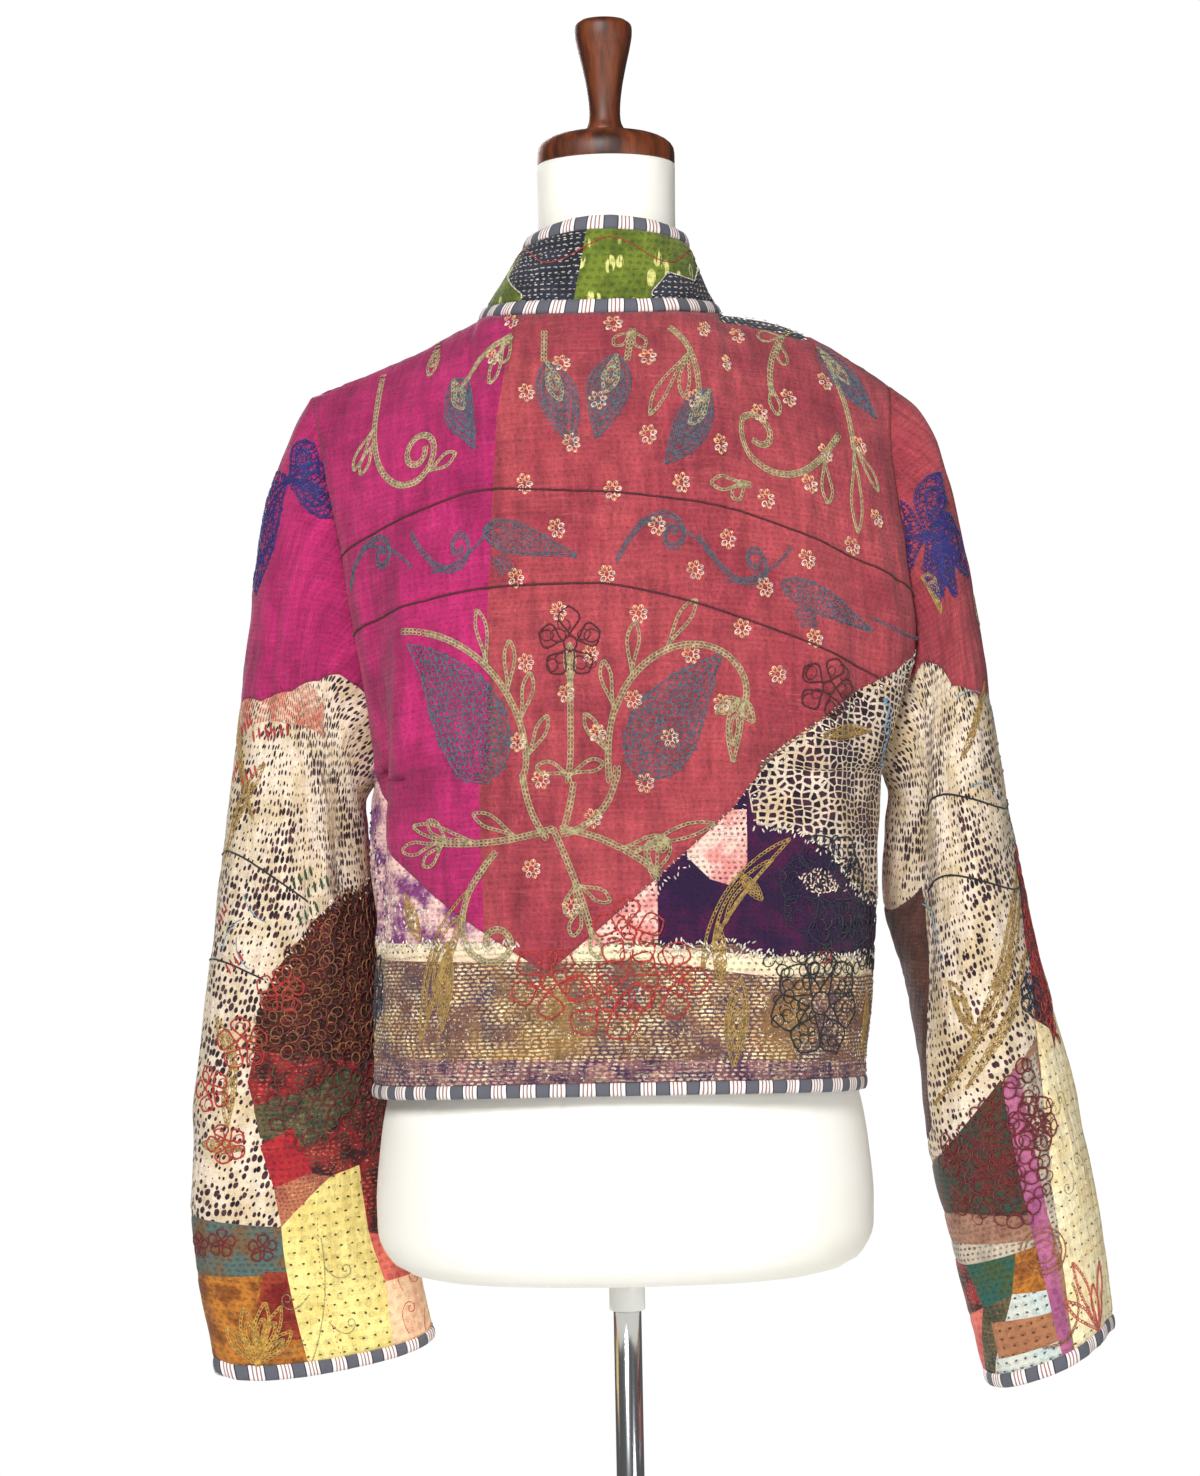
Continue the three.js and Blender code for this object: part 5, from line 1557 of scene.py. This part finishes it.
# Sewing is planned in centimetres: of real cloth round a place on a sleeve, or else of the flat drawing.
class Needle:
    def __init__(self, panelName, place=None):
        self.panelName, self.place = panelName, np.array(place or (0, 0), float)
        self.frame = panels[panelName].frameAt(self.place) if place and panels[panelName].wraps else np.eye(2)

    def keep(self, thread, kind, middles, ways, size=1.0):
        rows = gathered.setdefault((self.panelName, thread, kind), [])
        flat = self.place + middles @ self.frame.T
        rows.append(np.column_stack([flat, ways @ self.frame.T, np.ones(len(middles)) * size]))

    def sew(self, thread, way, spacing=0.31, size=1.0, kind="link"):
        path = evenly(np.asarray(way, float), spacing)
        self.keep(thread, kind, (path[1:] + path[:-1]) / 2, np.diff(path, axis=0), size)

    def thin(self, thread, way, spacing=0.26, size=1.0):
        self.sew(thread, way, spacing, size, "straight")

    # rings rows of chain, one inside the other
    def leaf(self, thread, start, heading, length, width=0.8, turn=0.0, fullest=0.5, rings=1, size=1.0):
        outline = leafOutline(start, heading, length, width, turn, fullest)
        middle = outline.mean(0)
        for ring in range(rings):
            inner = middle + (outline - middle) * (1 - ring / rings)
            self.sew(thread, closed(inner), size=size)

    # two rows of chain, with leaves: share of the way, side, and length
    def stem(self, thread, start, heading, length, turn, curl, leaves):
        way = bentWay(start, heading, length, turn, curl)
        for offset in (-0.11, 0.11):
            self.sew(thread, way + sidesOf(way) * offset)
        for share, hand, reach in leaves:
            place, ahead = headingOf(way, share)
            self.leaf(thread, place, ahead + hand * 42, reach, 0.85, -hand * 12, 0.68)

    # loops scattered all over an outline
    def net(self, thread, outline, pitch=0.42, size=1.0, seed=1, kind="loop"):
        rng = np.random.default_rng(seed)
        outline = np.asarray(outline, float)
        low, high = outline.min(0), outline.max(0)
        xs, ys = (np.arange(low[i], high[i] + pitch, pitch) for i in range(2))
        spots = np.array([(x + (k % 2) * pitch / 2, y) for k, y in enumerate(ys) for x in xs])
        spots += rng.uniform(-0.28, 0.28, spots.shape) * pitch
        spots = spots[isInside([tuple(corner) for corner in outline], spots[:, 0], spots[:, 1])]
        angle = rng.uniform(0, 2 * math.pi, len(spots))
        ways = pairs(np.cos(angle), np.sin(angle))
        self.keep(thread, kind, spots, ways, rng.uniform(0.75, 1.2, len(spots)) * size)

    # a flower of looped petals round a ring
    def flower(self, thread, centre, radius, count, start=90.0, width=0.7, filled=True):
        for i in range(count):
            heading = start + 360 * i / count
            base = bentWay(centre, heading, radius * 0.24, count=2)[-1]
            outline = leafOutline(base, heading, radius * 0.8, radius * width, 0.0, 0.62)
            self.thin(thread, closed(outline), size=1.25)
            if filled:
                self.net(thread, outline, 0.85, 0.85, 3 + i, "ring")
        ring = bentWay((centre[0], centre[1] - radius * 0.22), 0, radius * 1.4, 370)
        self.thin(thread, ring, size=1.25)

    # a broad stroke of close rows, tapered at both ends
    def stroke(self, thread, start, heading, length, width, turn, rings=3):
        self.leaf(thread, start, heading, length, width, turn, 0.45, rings, 0.95)

    # short stitches that straggle over a line
    def straggle(self, thread, way, spacing=0.3, spread=0.25, size=1.0, seed=5):
        rng = np.random.default_rng(seed)
        path = evenly(np.asarray(way, float), spacing)
        side = sidesOf(path)
        along = pairs(side[:, 1], -side[:, 0])
        ways = side + along * rng.uniform(-1.1, 1.1, len(path))[:, None]
        middles = path + side * rng.normal(0, spread, len(path))[:, None]
        self.keep(thread, "straight", middles, ways, rng.uniform(0.7, 1.4, len(path)) * size)

    # rows of running stitch inside an outline
    def rows(self, thread, outline, gap, step, size=0.6, seed=7):
        rng = np.random.default_rng(seed)
        low, high = np.min(outline, axis=0), np.max(outline, axis=0)
        spots = np.array([
            (x + (k % 2) * step / 2, y)
            for k, y in enumerate(np.arange(low[1], high[1], gap)) for x in np.arange(low[0], high[0], step)
        ])
        spots += rng.normal(0, 0.05, spots.shape)
        spots = spots[isInside(list(outline), spots[:, 0], spots[:, 1])]
        ways = pairs(np.ones(len(spots)), rng.uniform(-0.25, 0.25, len(spots)))
        self.keep(thread, "straight", spots, ways, rng.uniform(0.7, 1.2, len(spots)) * size)


def patchOutline(block, finish, which=0):
    found = [outline for name, outline in patches[block] if name == finish and outline]
    return found[which]


# A little sprig is a ring of loops, each with a stitch at its end: heading, thread, and reach in cm.
sprigPetals = [
    (62, "peach", 0.42), (118, "peach", 0.42), (12, "shell", 0.4), (168, "peach", 0.4),
    (-35, "shell", 0.4), (-80, "peach", 0.46), (-130, "shell", 0.42),
]


def sprig(needle, x, y, tilt):
    for angle, thread, reach in sprigPetals:
        way = np.array([[math.cos(math.radians(angle + tilt)), math.sin(math.radians(angle + tilt))]])
        centre = np.array([[x, y]])
        needle.keep(thread, "petal", centre + way * reach, way)
        needle.keep("shell", "straight", centre + way * (reach + 0.12), way, 0.8)


# Hanging drop leaves: start, heading, length and turn, each with an olive leaf in its upper half.
drops = [
    ((-13, 49.5), 290, 6, 10), ((-3.5, 50), 280, 6, 5), ((1, 50.5), 258, 6, -8), ((8, 47.5), 235, 6, -12),
    ((19, 53), 320, 5.5, 8),
]

# Olive vines: start, heading, length, turn, curl, and leaves.
vines = [
    ((-19, 53), 258, 21, 30, 560, ((0.22, -1, 3.4), (0.26, -1, 2.6), (0.62, -1, 2.6))),
    ((-6, 52), 205, 7, 8, 0, ((0.12, 1, 4.0), (0.02, 1, 2.6))),
    ((-3.5, 52.5), 265, 2.5, 0, 0, ()),
    ((2, 52.5), 262, 2.5, 0, 0, ((0.1, -1, 1.6), (0.1, 1, 1.6))),
    ((4.5, 52.5), 322, 6.5, -60, 0, ((0.4, -1, 3.6), (0.42, -1.7, 5.5))),
    ((17, 53.5), 222, 6.5, 48, 0, ((0.2, -1, 2.2), (0.3, 1, 1.8), (0.85, 0.2, 2.4))),
    ((19, 53), 305, 7.5, -45, 0, ((0.96, 1, 3.2), (0.98, -0.1, 6.5))),
    ((19.5, 46.5), 232, 17, -50, -430, ((0.16, 1, 3.4),)),
    ((11, 41.5), 175, 1.0, 0, 0, ((0.5, 0.1, 3.0), (0.5, 1, 1.6))),
    ((-3.5, 30.5), 270, 8.5, 2, 0, ((0.96, -2.9, 2.6), (0.96, 2.9, 2.6))),
    ((-3, 22), 262, 3.2, -12, 0, ()),
    ((-6.5, 22.5), 275, 4.5, 32, 0, ()),
    ((0, 23), 268, 6.4, -82, 0, ()),
    ((-4.5, 19), 196, 9, -22, 0, (
        (0.3, -1, 3.6), (0.6, -0.4, 5.6), (0.86, -1, 2.4), (0.96, 0.4, 3.4), (0.9, 1.2, 2.4),
    )),
    ((-8.5, 17.5), 226, 15, 70, 400, ()),
    ((-4, 19), 352, 7.5, -35, 0, ((0.6, 1, 3.2), (0.7, 1.4, 5.8))),
    ((-4.5, 19), 296, 7.5, -12, 0, ((0.52, -0.9, 2.4), (0.55, 1.2, 2.6), (0.74, -1, 2.4), (0.96, 0, 2.2))),
    ((2.5, 15.5), 120, 5, -30, -380, ((0.1, -1.3, 2.6),)),
]

# Paisleys: start at the round end, heading, length, width and turn, then the olive border's own start,
# heading, length, turn and curl, and the side that its leaves are on.
paisleys = [
    (((-9, 22), 114, 13, 5.4, 26), ((-6.5, 22), 92, 17, 84, 0), -1),
    (((1.5, 22), 66, 10.5, 4.8, -22), ((-0.5, 22), 98, 19.5, -110, -118), 1),
]


def backPaisleys(needle):
    for number, (shape, border, hand) in enumerate(paisleys):
        outline = leafOutline(*shape, 0.36)
        needle.net("teal", outline, 0.42, 1.0, 11 + number)
        needle.thin("teal", closed(outline))
        leaves = [(0.12 + 0.14 * i, hand, 3.2 + 0.3 * i) for i in range(4)]
        needle.stem("olive", *border, leaves)
    for heading, length in ((262, 4.4), (212, 1.8), (305, 2.0)):
        needle.leaf("olive", (8.5, 27.5), heading, length, 1.0, 0, 0.4, 2)


# A scroll band in fine teal thread, running down to the right.
def backScroll(needle):
    for x, hand in ((-21, 1), (-14, -1), (2.5, 1), (8.5, -1)):
        y = 38.5 - 0.007 * max(0, x + 6) ** 2
        for offset in (0, 0.28):
            way = bentWay((x - 2.2, y - 1.2 * hand + offset), 60 * hand, 10.5, -50 * hand, -460 * hand)
            needle.sew("teal", way, size=0.85)
        needle.sew("teal", bentWay((x - 0.5, y + 1.5 * hand), 0, 6, -50 * hand), size=0.85)
    for x, y, heading in ((-10, 39, 350), (12, 35.5, 343)):
        outline = leafOutline((x, y), heading, 7.5, 1.9, -6, 0.32)
        needle.net("teal", outline, 0.38, 0.85, int(20 + x))
        needle.leaf("teal", (x, y), heading, 7.5, 1.9, -6, 0.32, 1, 0.8)
        needle.net("teal", leafOutline((x + 0.6, y - 1.6), 330, 2, 1.4), 0.36, 0.8, int(40 + x))
    needle.sew("teal", bentWay((19, 34), 335, 7, 40), size=0.85)


def backWork():
    needle = Needle("back")
    across = np.arange(-24.5, 25, 0.5)
    for height, drop, reach, end in ((41.5, 5, 25.5, 24.5), (35.5, 6, 20.5, 19.5)):
        fall = clamp((across + 1) / reach) ** 1.3 * drop + 0.005 * np.minimum(0, across + 8) ** 2
        way = pairs(across, height - fall)[across <= end]
        needle.thin("darkRed", way, 0.24, 1.5)
    for start, heading, length, turn in drops:
        needle.leaf("teal", start, heading, length, 2.7, turn, 0.42, 4, 0.95)
        needle.net("teal", leafOutline(start, heading, length, 2.3, turn, 0.42), 0.4, 0.8, 9)
        needle.leaf("olive", start, heading, 3.0, 1.0, turn, 0.6, 2, 1.05)
    for vine in vines:
        needle.stem("olive", *vine)
    needle.leaf("olive", (-3.5, 28.5), 90, 3, 0.8, 0, 0.62, 2)
    needle.leaf("olive", (-14.5, 53.5), 258, 2.8, 0.8, 0, 0.62, 2)
    backPaisleys(needle)
    backScroll(needle)
    for row in range(15):
        for i in range(-2, 5):
            x = 0.8 + 6.1 * i + 3.05 * (row % 2) - 0.25 * row + 0.7 * math.sin(row * 5.3 + i * 2.1)
            y = 53 - 2.8 * row - 0.008 * max(0, x) ** 2 + 0.3 * math.sin(row * 2.7 + i * 4.4)
            if -8.4 < x < 23.5 and y > 12.5 + 1.05 * abs(x + 4.5):
                sprig(needle, x, y, 14 * math.sin(row * 3.1 + i * 7.7))
    needle.flower("darkRed", (-3.5, 31.5), 2.4, 5, 90)
    needle.flower("darkRed", (15, 28.5), 2.2, 5, 70)


def lowerBackWork():
    needle = Needle("back")
    for x, y, radius, start in ((-5, 8.5, 2.6, 60), (-1, 7, 3.0, 80), (3, 8.5, 2.8, 70), (0.5, 12, 2.4, 90)):
        needle.flower("red", (x, y), radius, 5, start, 0.7, False)
        rim = bentWay((x, y - radius * 0.7), 0, radius * 4.2, 350)
        needle.net("red", rim, 1.1, 0.9, 3, "ring")
    for thread, centre, radius, count, start, width in (
        ("black", (14, 6.5), 3.8, 7, 90, 0.7), ("navy", (14.5, 14.5), 3.8, 7, 60, 0.75),
        ("navy", (19.5, 11.5), 2.8, 6, 60, 0.75), ("navy", (-22, 7.5), 2.6, 6, 90, 0.7),
    ):
        needle.flower(thread, centre, radius, count, start, width)
    needle.net("black", [(9, 9), (24.5, 8), (24.5, 10), (9, 10.5)], 0.9, 0.8, 31, "ring")
    needle.net("shell", leafOutline((12, 15.5), 345, 3.6, 1.8), 0.26, 1.0, 32, "straight")
    needle.net("black", leafOutline((12, 15.5), 345, 3.6, 2.2), 0.9, 0.8, 33, "ring")
    for size in (0.5, 1.0):
        needle.keep("red", "ring", np.array([[14.3, 9.8]]), np.array([[1.0, 0.0]]), size)
    for stroke in (
        ((-10.5, 15), 240, 11.5, 1.7, 22), ((-14.5, 11.5), 120, 3.6, 1.0, -10), ((-12, 11), 262, 6, 1.2, 6),
        ((11.5, 18), 212, 11, 1.1, 50), ((8, 8.5), 264, 6.5, 1.5, 4), ((6.5, 12.5), 272, 4.5, 0.8, 0),
        ((20.5, 7.5), 260, 5, 1.2, 6), ((9.5, 14), 130, 2.4, 0.7, 0),
    ):
        needle.stroke("ochre", *stroke)
    aubergine = patchOutline("back_lower", "aubergine")
    seam = seamLine(panels["back"])[3:]
    for thread, way, spacing, spread, size, seed in (
        ("ivory", aubergine[4:10], 0.17, 0.25, 1.0, 32),
        ("ivory", aubergine[:5], 0.17, 0.2, 1.0, 33),
        ("ivory", [(-24.8, 11), (-7, 11.2)], 0.16, 0.25, 1.1, 42),
        ("ivory", [(-1, 11), (10.4, 10)], 0.16, 0.25, 1.1, 43),
        ("ivory", [(-24.8, 17), (-20, 14), (-13, 12.5)], 0.16, 0.8, 1.1, 36),
        ("royal", [(-24.8, 20), (-22, 16), (-20, 12)], 0.14, 0.9, 1.0, 37),
        ("ivory", [(-24.8, 6), (0, 5.5), (24.5, 5)], 0.07, 2.0, 0.5, 38),
        ("gold", [(-24.8, 5), (0, 5), (24.5, 4)], 0.09, 1.8, 0.5, 39),
        ("ivory", seam, 0.4, 0.05, 0.6, 40),
        ("ivory", [(x + 0.4, y - 0.5) for x, y in seam], 0.3, 0.12, 0.8, 41),
    ):
        needle.straggle(thread, way, spacing, spread, size, seed)
    needle.stroke("ochre", (14.5, 25), 8, 5, 0.9, -8)
    needle.rows("ivory", patchOutline("back_upper", "navy"), 0.4, 0.5, 0.9)


# Tendrils that coil up, each to its own side: place and side.
def tendrils(needle, thread, rows, size, heading=0, lean=60, turn=90):
    for x, y, hand in rows:
        way = bentWay((x, y), heading + lean * hand, 4.6, turn * hand, 420 * hand)
        needle.thin(thread, way, 0.2, size)


def sleeveFlower(name, place, petals):
    needle = Needle(name, place)
    for heading, length, width in petals:
        outline = leafOutline((0, 0), heading, length, width, 14, 0.6)
        needle.net("royal", outline, 0.4, 1.05, int(heading))
        needle.leaf("royal", (0, 0), heading, length, width, 14, 0.6, 2)


def leftSleeveWork():
    name = "sleeve_left"
    petals = ((265, 5, 3.0), (310, 4, 2.4), (230, 4, 2.2), (92, 9.5, 3.2), (50, 4.5, 2.4), (125, 7, 2.8))
    sleeveFlower(name, (17, 6), petals)
    for line in ([(21, 33.5), (10.5, 29.5)], [(21, 40), (14.5, 38.2)]):
        Needle(name).thin("black", line, 0.24, 1.3)
    for place, heading, length, width, turn in (
        ((19.5, 24), 130, 7.5, 0.8, 20), ((15, 24), 110, 6, 0.8, 10), ((18.5, 43), 150, 4, 0.8, -30),
        ((19, 51), 190, 3, 0.8, 0), ((16.5, 45), 100, 4.5, 0.8, 16),
    ):
        Needle(name, place).stroke("ochre", (0, 0), heading, length, width, turn, rings=2)
    for place, radius in (((16, 43.5), 1.8), ((18.5, 47.5), 1.6), ((17, 50.5), 1.4), ((13, 38), 1.6)):
        Needle(name, place).flower("red", (0, 0), radius, 5, 90, 0.8)
    for place, radius in (((17.5, 56.5), 1.0), ((14.5, 56.5), 1.0), ((19.5, 57), 0.9)):
        Needle(name, place).flower("oxblood", (0, 0), radius, 5, 60, 0.8, False)
    brown = patchOutline("sleeve_left_lower", "brownLoops")
    crimson = [(0, 36), (7, 40), (14, 43), (14.5, 46), (13, 49.5), (9, 49), (6, 48), (0, 50)]
    for thread, outline, pitch, size, seed in (
        ("oxblood", brown, 1.15, 0.9, 43), ("tan", brown, 1.0, 0.8, 42),
        ("oxblood", crimson, 1.2, 1.0, 45), ("leaf", crimson, 1.7, 0.9, 46),
    ):
        Needle(name).net(thread, outline, pitch, size, seed, "ring")
    fan = Needle(name, (16.5, 64))
    for heading, length in ((250, 4.5), (265, 4.6), (285, 4.2), (225, 3.4), (310, 3.4)):
        fan.leaf("gold", (0, 0), heading, length, 1.0, 0, 0.6, 2)
    vine = Needle(name, (10, 55.5))
    vine.thin("sage", bentWay((0, 0), 110, 9, -50), 0.22, 0.7)
    tendrils(vine, "sage", ((-0.5, 2, 1), (0.6, 4, -1), (-1, 6, 1), (1.2, 7, -1)), 0.65, 90, 40, 60)
    vine.thin("red", bentWay((0.5, -1.5), 100, 11, 8), 0.4, 0.5)
    curls = ((0, -2.5, 1), (1, 0, -1), (-1, 1.8, 1), (1, 3, -1))
    tendrils(Needle(name, (2.5, 60)), "coral", curls, 0.65)
    scribble = Needle(name, (16.5, 34))
    for x, y, heading in ((0, 0, 140), (-1, 1.5, 60), (-1.6, 2.6, 120)):
        scribble.thin("sky", bentWay((x, y), heading, 2.6, 70), 0.22, 0.8)
    steps = np.arange(4)
    ladder = pairs(steps * 0.08, steps * 0.42)
    for thread, places in (
        ("leaf", ((10, 26.5), (8, 25), (9.5, 29))),
        ("red", ((17, 23), (14.5, 21), (12.5, 18.5), (16, 25.5), (18.5, 27), (18.5, 36), (16.5, 38))),
    ):
        for place in places:
            Needle(name, place).keep(thread, "satin", ladder, np.array([[1.0, -0.35]] * 4))
    Needle(name).straggle("ivory", brown[1:5], 0.5, 0.2, 0.9, 51)


def rightSleeveWork():
    name = "sleeve_right"
    petals = ((300, 4, 2.6), (235, 4.5, 2.6), (10, 4.8, 2.4), (70, 6.5, 3.0), (150, 4.6, 2.4), (110, 5, 2.2))
    sleeveFlower(name, (12.5, 3.5), petals)
    around = np.arange(5.5, 20.6, 0.5)
    for down, rise in ((23, 11.5), (29.5, 9)):
        way = down + rise * np.sin((around - 10) * math.pi / 20) - 0.14 * (around - 10)
        Needle(name).thin("black", pairs(around, way), 0.24, 1.3)
    for start, heading, length, width, turn in (
        ((18.5, 36), 146, 9, 0.9, 0), ((18.5, 37.5), 150, 14, 0.9, 4), ((17.5, 40), 150, 9, 0.8, 0),
        ((9, 36), 66, 6, 0.9, 8), ((12.5, 24), 20, 5, 0.8, -20), ((10.5, 3), 80, 6, 0.8, 10),
    ):
        Needle(name).stroke("ochre", start, heading, length, width, turn, rings=2)
    Needle(name, (17, 42.5)).flower("navy", (0, 0), 1.5, 6, 60, 0.8)
    low = [(6, 48), (15, 45), (15.5, 53), (12.5, 55), (6.5, 53)]
    Needle(name).net("oxblood", low, 0.85, 0.95, 63, "ring")
    Needle(name).net("red", patchOutline("sleeve_right_lower", "crimson", 1), 0.9, 0.9, 64, "ring")
    for place, radius in (((14.5, 49.5), 2.0), ((10.5, 51), 2.0)):
        Needle(name, place).flower("oxblood", (0, 0), radius, 6, 90, 0.8)
    for radius in (0.8, 1.3, 1.6):
        Needle(name, (13, 57)).thin("tan", bentWay((0, -radius), 0, radius * 6.2, 356))
    Needle(name, (11.5, 63)).sew("tan", bentWay((0, 0), 20, 6, -130), size=0.9)
    curls = ((0, -3.5, 1), (1, -0.5, -1), (-1, 2, 1), (1, 4, -1))
    tendrils(Needle(name, (17.5, 51)), "sage", curls, 0.6)
    spray = Needle(name, (17.5, 64))
    for heading, length in ((262, 5.5), (300, 5), (235, 4), (280, 3.4)):
        spray.leaf("coral", (0, 0), heading, length, 0.9, 0, 0.6, 1)
    Needle(name, (18.5, 21)).leaf("olive", (0, -1.2), 90, 2.4, 1.8, 0, 0.5, 1)
    for place, heading in (((4.5, 24), 60), ((12.5, 19.5), 30), ((13, 27), 40)):
        Needle(name, place).thin("sky", bentWay((0, 0), heading, 4, 60), 0.22, 0.9)
    Needle("back").straggle("sky", [(20.5, 28), (21.5, 25.5), (21.5, 23)], 0.1, 0.25, 0.9, 67)


def collarWork():
    needle = Needle("collar")
    x = np.arange(-14, 14.1, 0.4)
    needle.thin("red", pairs(x, 4.6 + 0.8 * np.sin(x * 0.75 + 1.2)), 0.22, 0.8)
    for which in range(3):
        needle.rows("ivory", patchOutline("collar", "navy", which), 0.55, 0.6, 0.55, 71 + which)
    needle.thin("ivory", patchOutline("collar", "navy", 0)[2:], 0.2, 0.8)
    needle.thin("ivory", patchOutline("collar", "navy", 1)[1:], 0.2, 0.8)


# Stitches of one thread and kind on one panel become a mesh, with at most so many in it.
mostStitches = 4000


def sewn(panelName, thread, kind, rows, number):
    panel = panels[panelName]
    flat, ways, sizes = rows[:, :2], rows[:, 2:4], rows[:, 4]
    spots, out = panel.onTop(flat)
    step = 0.1
    ahead = panel.onTop(flat + unit(ways) * step)[0]
    name = f"{panelName}_{thread}_{kind}" + (f"_{number}" if number else "")
    data = bpy.data.meshes.new(name)
    data.from_pydata([tuple(spot) for spot in spots], [], [])
    for label, values in (("along", ahead - spots), ("out", out)):
        layer = data.attributes.new(label, "FLOAT_VECTOR", "POINT")
        layer.data.foreach_set("vector", values.astype(np.float32).ravel())
    data.attributes.new("size", "FLOAT", "POINT").data.foreach_set("value", sizes.astype(np.float32))
    piece = addToScene(name, data)
    modifier = piece.modifiers.new("stitches", "NODES")
    modifier.node_group = stitchTrees[kind]
    values = dict(stitches[kind], Material=threadMaterials[thread])
    for socket in stitchTrees[kind].interface.items_tree:
        if socket.in_out == "INPUT" and socket.name in values:
            modifier[socket.identifier] = values[socket.name]
    made = bpy.data.meshes.new_from_object(piece.evaluated_get(bpy.context.evaluated_depsgraph_get()))
    piece.modifiers.remove(modifier)
    piece.data = made
    made.name = name
    recalculateNormals(piece)
    made.polygons.foreach_set("use_smooth", np.full(len(made.polygons), True))
    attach(piece, "root")
    return piece


# What lies outside a panel's cloth is left off.
def onCloth(panelName, rows):
    panel = panels[panelName]
    margin = 0.2
    within = (rows[:, :2] > panel.low + margin) & (rows[:, :2] < panel.high - margin)
    return rows[within[:, 1] if panel.wraps else within.all(1)]


stitchTrees = {kind: stitchTree(kind) for kind in stitches}
backWork()
lowerBackWork()
leftSleeveWork()
rightSleeveWork()
collarWork()
threadMaterials = {name: threadMaterial(name) for name in sorted({thread for _, thread, _ in gathered})}
sewnPieces = {}
total = count = 0
for (panelName, thread, kind), rows in gathered.items():
    rows = onCloth(panelName, np.concatenate(rows))
    count += len(rows)
    for number, first in enumerate(range(0, len(rows), mostStitches)):
        piece = sewn(panelName, thread, kind, rows[first:first + mostStitches], number)
        sewnPieces.setdefault(panelName, []).append(piece)
        total += sum(len(polygon.vertices) - 2 for polygon in piece.data.polygons)
print("embroidered,", count, "stitches,", total, "triangles")


# The cut size of a piece of cloth, from its own flat layout.
def cutSize(piece):
    data = piece.data
    flat = np.empty(len(data.loops) * 2, np.float32)
    data.uv_layers["cloth"].data.foreach_get("uv", flat)
    flat = flat.reshape(-1, 2)
    extent = flat.max(0) - flat.min(0)
    area = sum(polygon.area for polygon in data.polygons) / 2
    return tuple(float(size) for size in extent), min(area, float(extent.prod()))


def clothSlot(node):
    if node == "collar":
        return "collar_cloth"
    return "lower_cloth" if node.endswith("lower") else "upper_cloth"


for node, piece in cloths.items():
    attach(piece, "root")
    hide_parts(node)
    clothSlot(node)
    size, area = cutSize(piece)
    carried = sewnPieces.get(node.replace("_lower", ""), []) if not node.endswith("upper") else []
    for stitched in carried:
        clothSlot(node)
for node, (piece, length) in tapes.items():
    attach(piece, "root")
    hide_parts(node)


# The floor, the lights (place, target, size and power) and the camera, in metres, degrees and watts.
studio = {
    "floorRadius": 2.6,
    "floorSides": 128,
    "floorDrop": 0.0004,
    "floorTones": ((242, 242, 240), (246, 246, 244)),
    "lights": {
        "key": ((0.7, 2.7, 2.5), (0, 0, 1.15), 1.0, 96),
        "fill": ((-1.6, 2.2, 1.0), (-0.1, 0, 1.0), 1.2, 22),
        "front": ((0.8, -2.6, 2.0), (0, 0, 1.1), 1.8, 96),
    },
    "cameraPlace": (0, 2.4, 1.1),
    "roll": -1.1,
    "lens": 83.62,
    "sensor": 36,
    "shift": (-0.0122, 0.0542),
}


def buildFloor():
    count, radius = studio["floorSides"], studio["floorRadius"]
    angles = [2 * math.pi * k / count for k in range(count)]
    corners = [(radius * math.cos(angle), radius * math.sin(angle), -studio["floorDrop"]) for angle in angles]
    material, shader, place = newMaterial("floor", objectPlace, 0.9)
    pale, paler = studio["floorTones"]
    finishShader(shader, place.noisy(3.0).blend(tone(*pale), tone(*paler)))
    floor = addObject("floor", corners, [list(range(count))], [material], smoothFaces=False)


def areaLight(name, place, target, size, power):
    data = bpy.data.lights.new(name, "AREA")
    data.shape, data.size, data.energy = "DISK", size, power
    lamp = addToScene(name, data)
    lamp.location = place
    lamp.rotation_euler = (Vector(target) - Vector(place)).to_track_quat("-Z", "Y").to_euler()


def buildStudio():
    buildFloor()
    world = bpy.data.worlds.new("studio")
    bpy.context.scene.world = world
    world.use_nodes = True
    tree = world.node_tree
    background = tree.nodes["Background"]
    background.inputs["Color"].default_value = (1, 1, 1, 1)
    seen = Wire(tree, tree.nodes.new("ShaderNodeLightPath").outputs["Is Camera Ray"])
    tree.links.new((seen * 0.9 + 0.12).socket, background.inputs["Strength"])
    for name, row in studio["lights"].items():
        areaLight(name, *row)
    bpy.context.scene.view_settings.view_transform = "Standard"
    data = bpy.data.cameras.new("camera")
    data.lens, data.sensor_width = studio["lens"], studio["sensor"]
    data.shift_x, data.shift_y = studio["shift"]
    camera = addToScene("camera", data)
    level = Euler((math.radians(90), 0, math.radians(180))).to_matrix()
    camera.location = studio["cameraPlace"]
    camera.rotation_euler = (level @ Matrix.Rotation(math.radians(studio["roll"]), 3, "Z")).to_euler()
    bpy.context.scene.camera = camera


buildStudio()
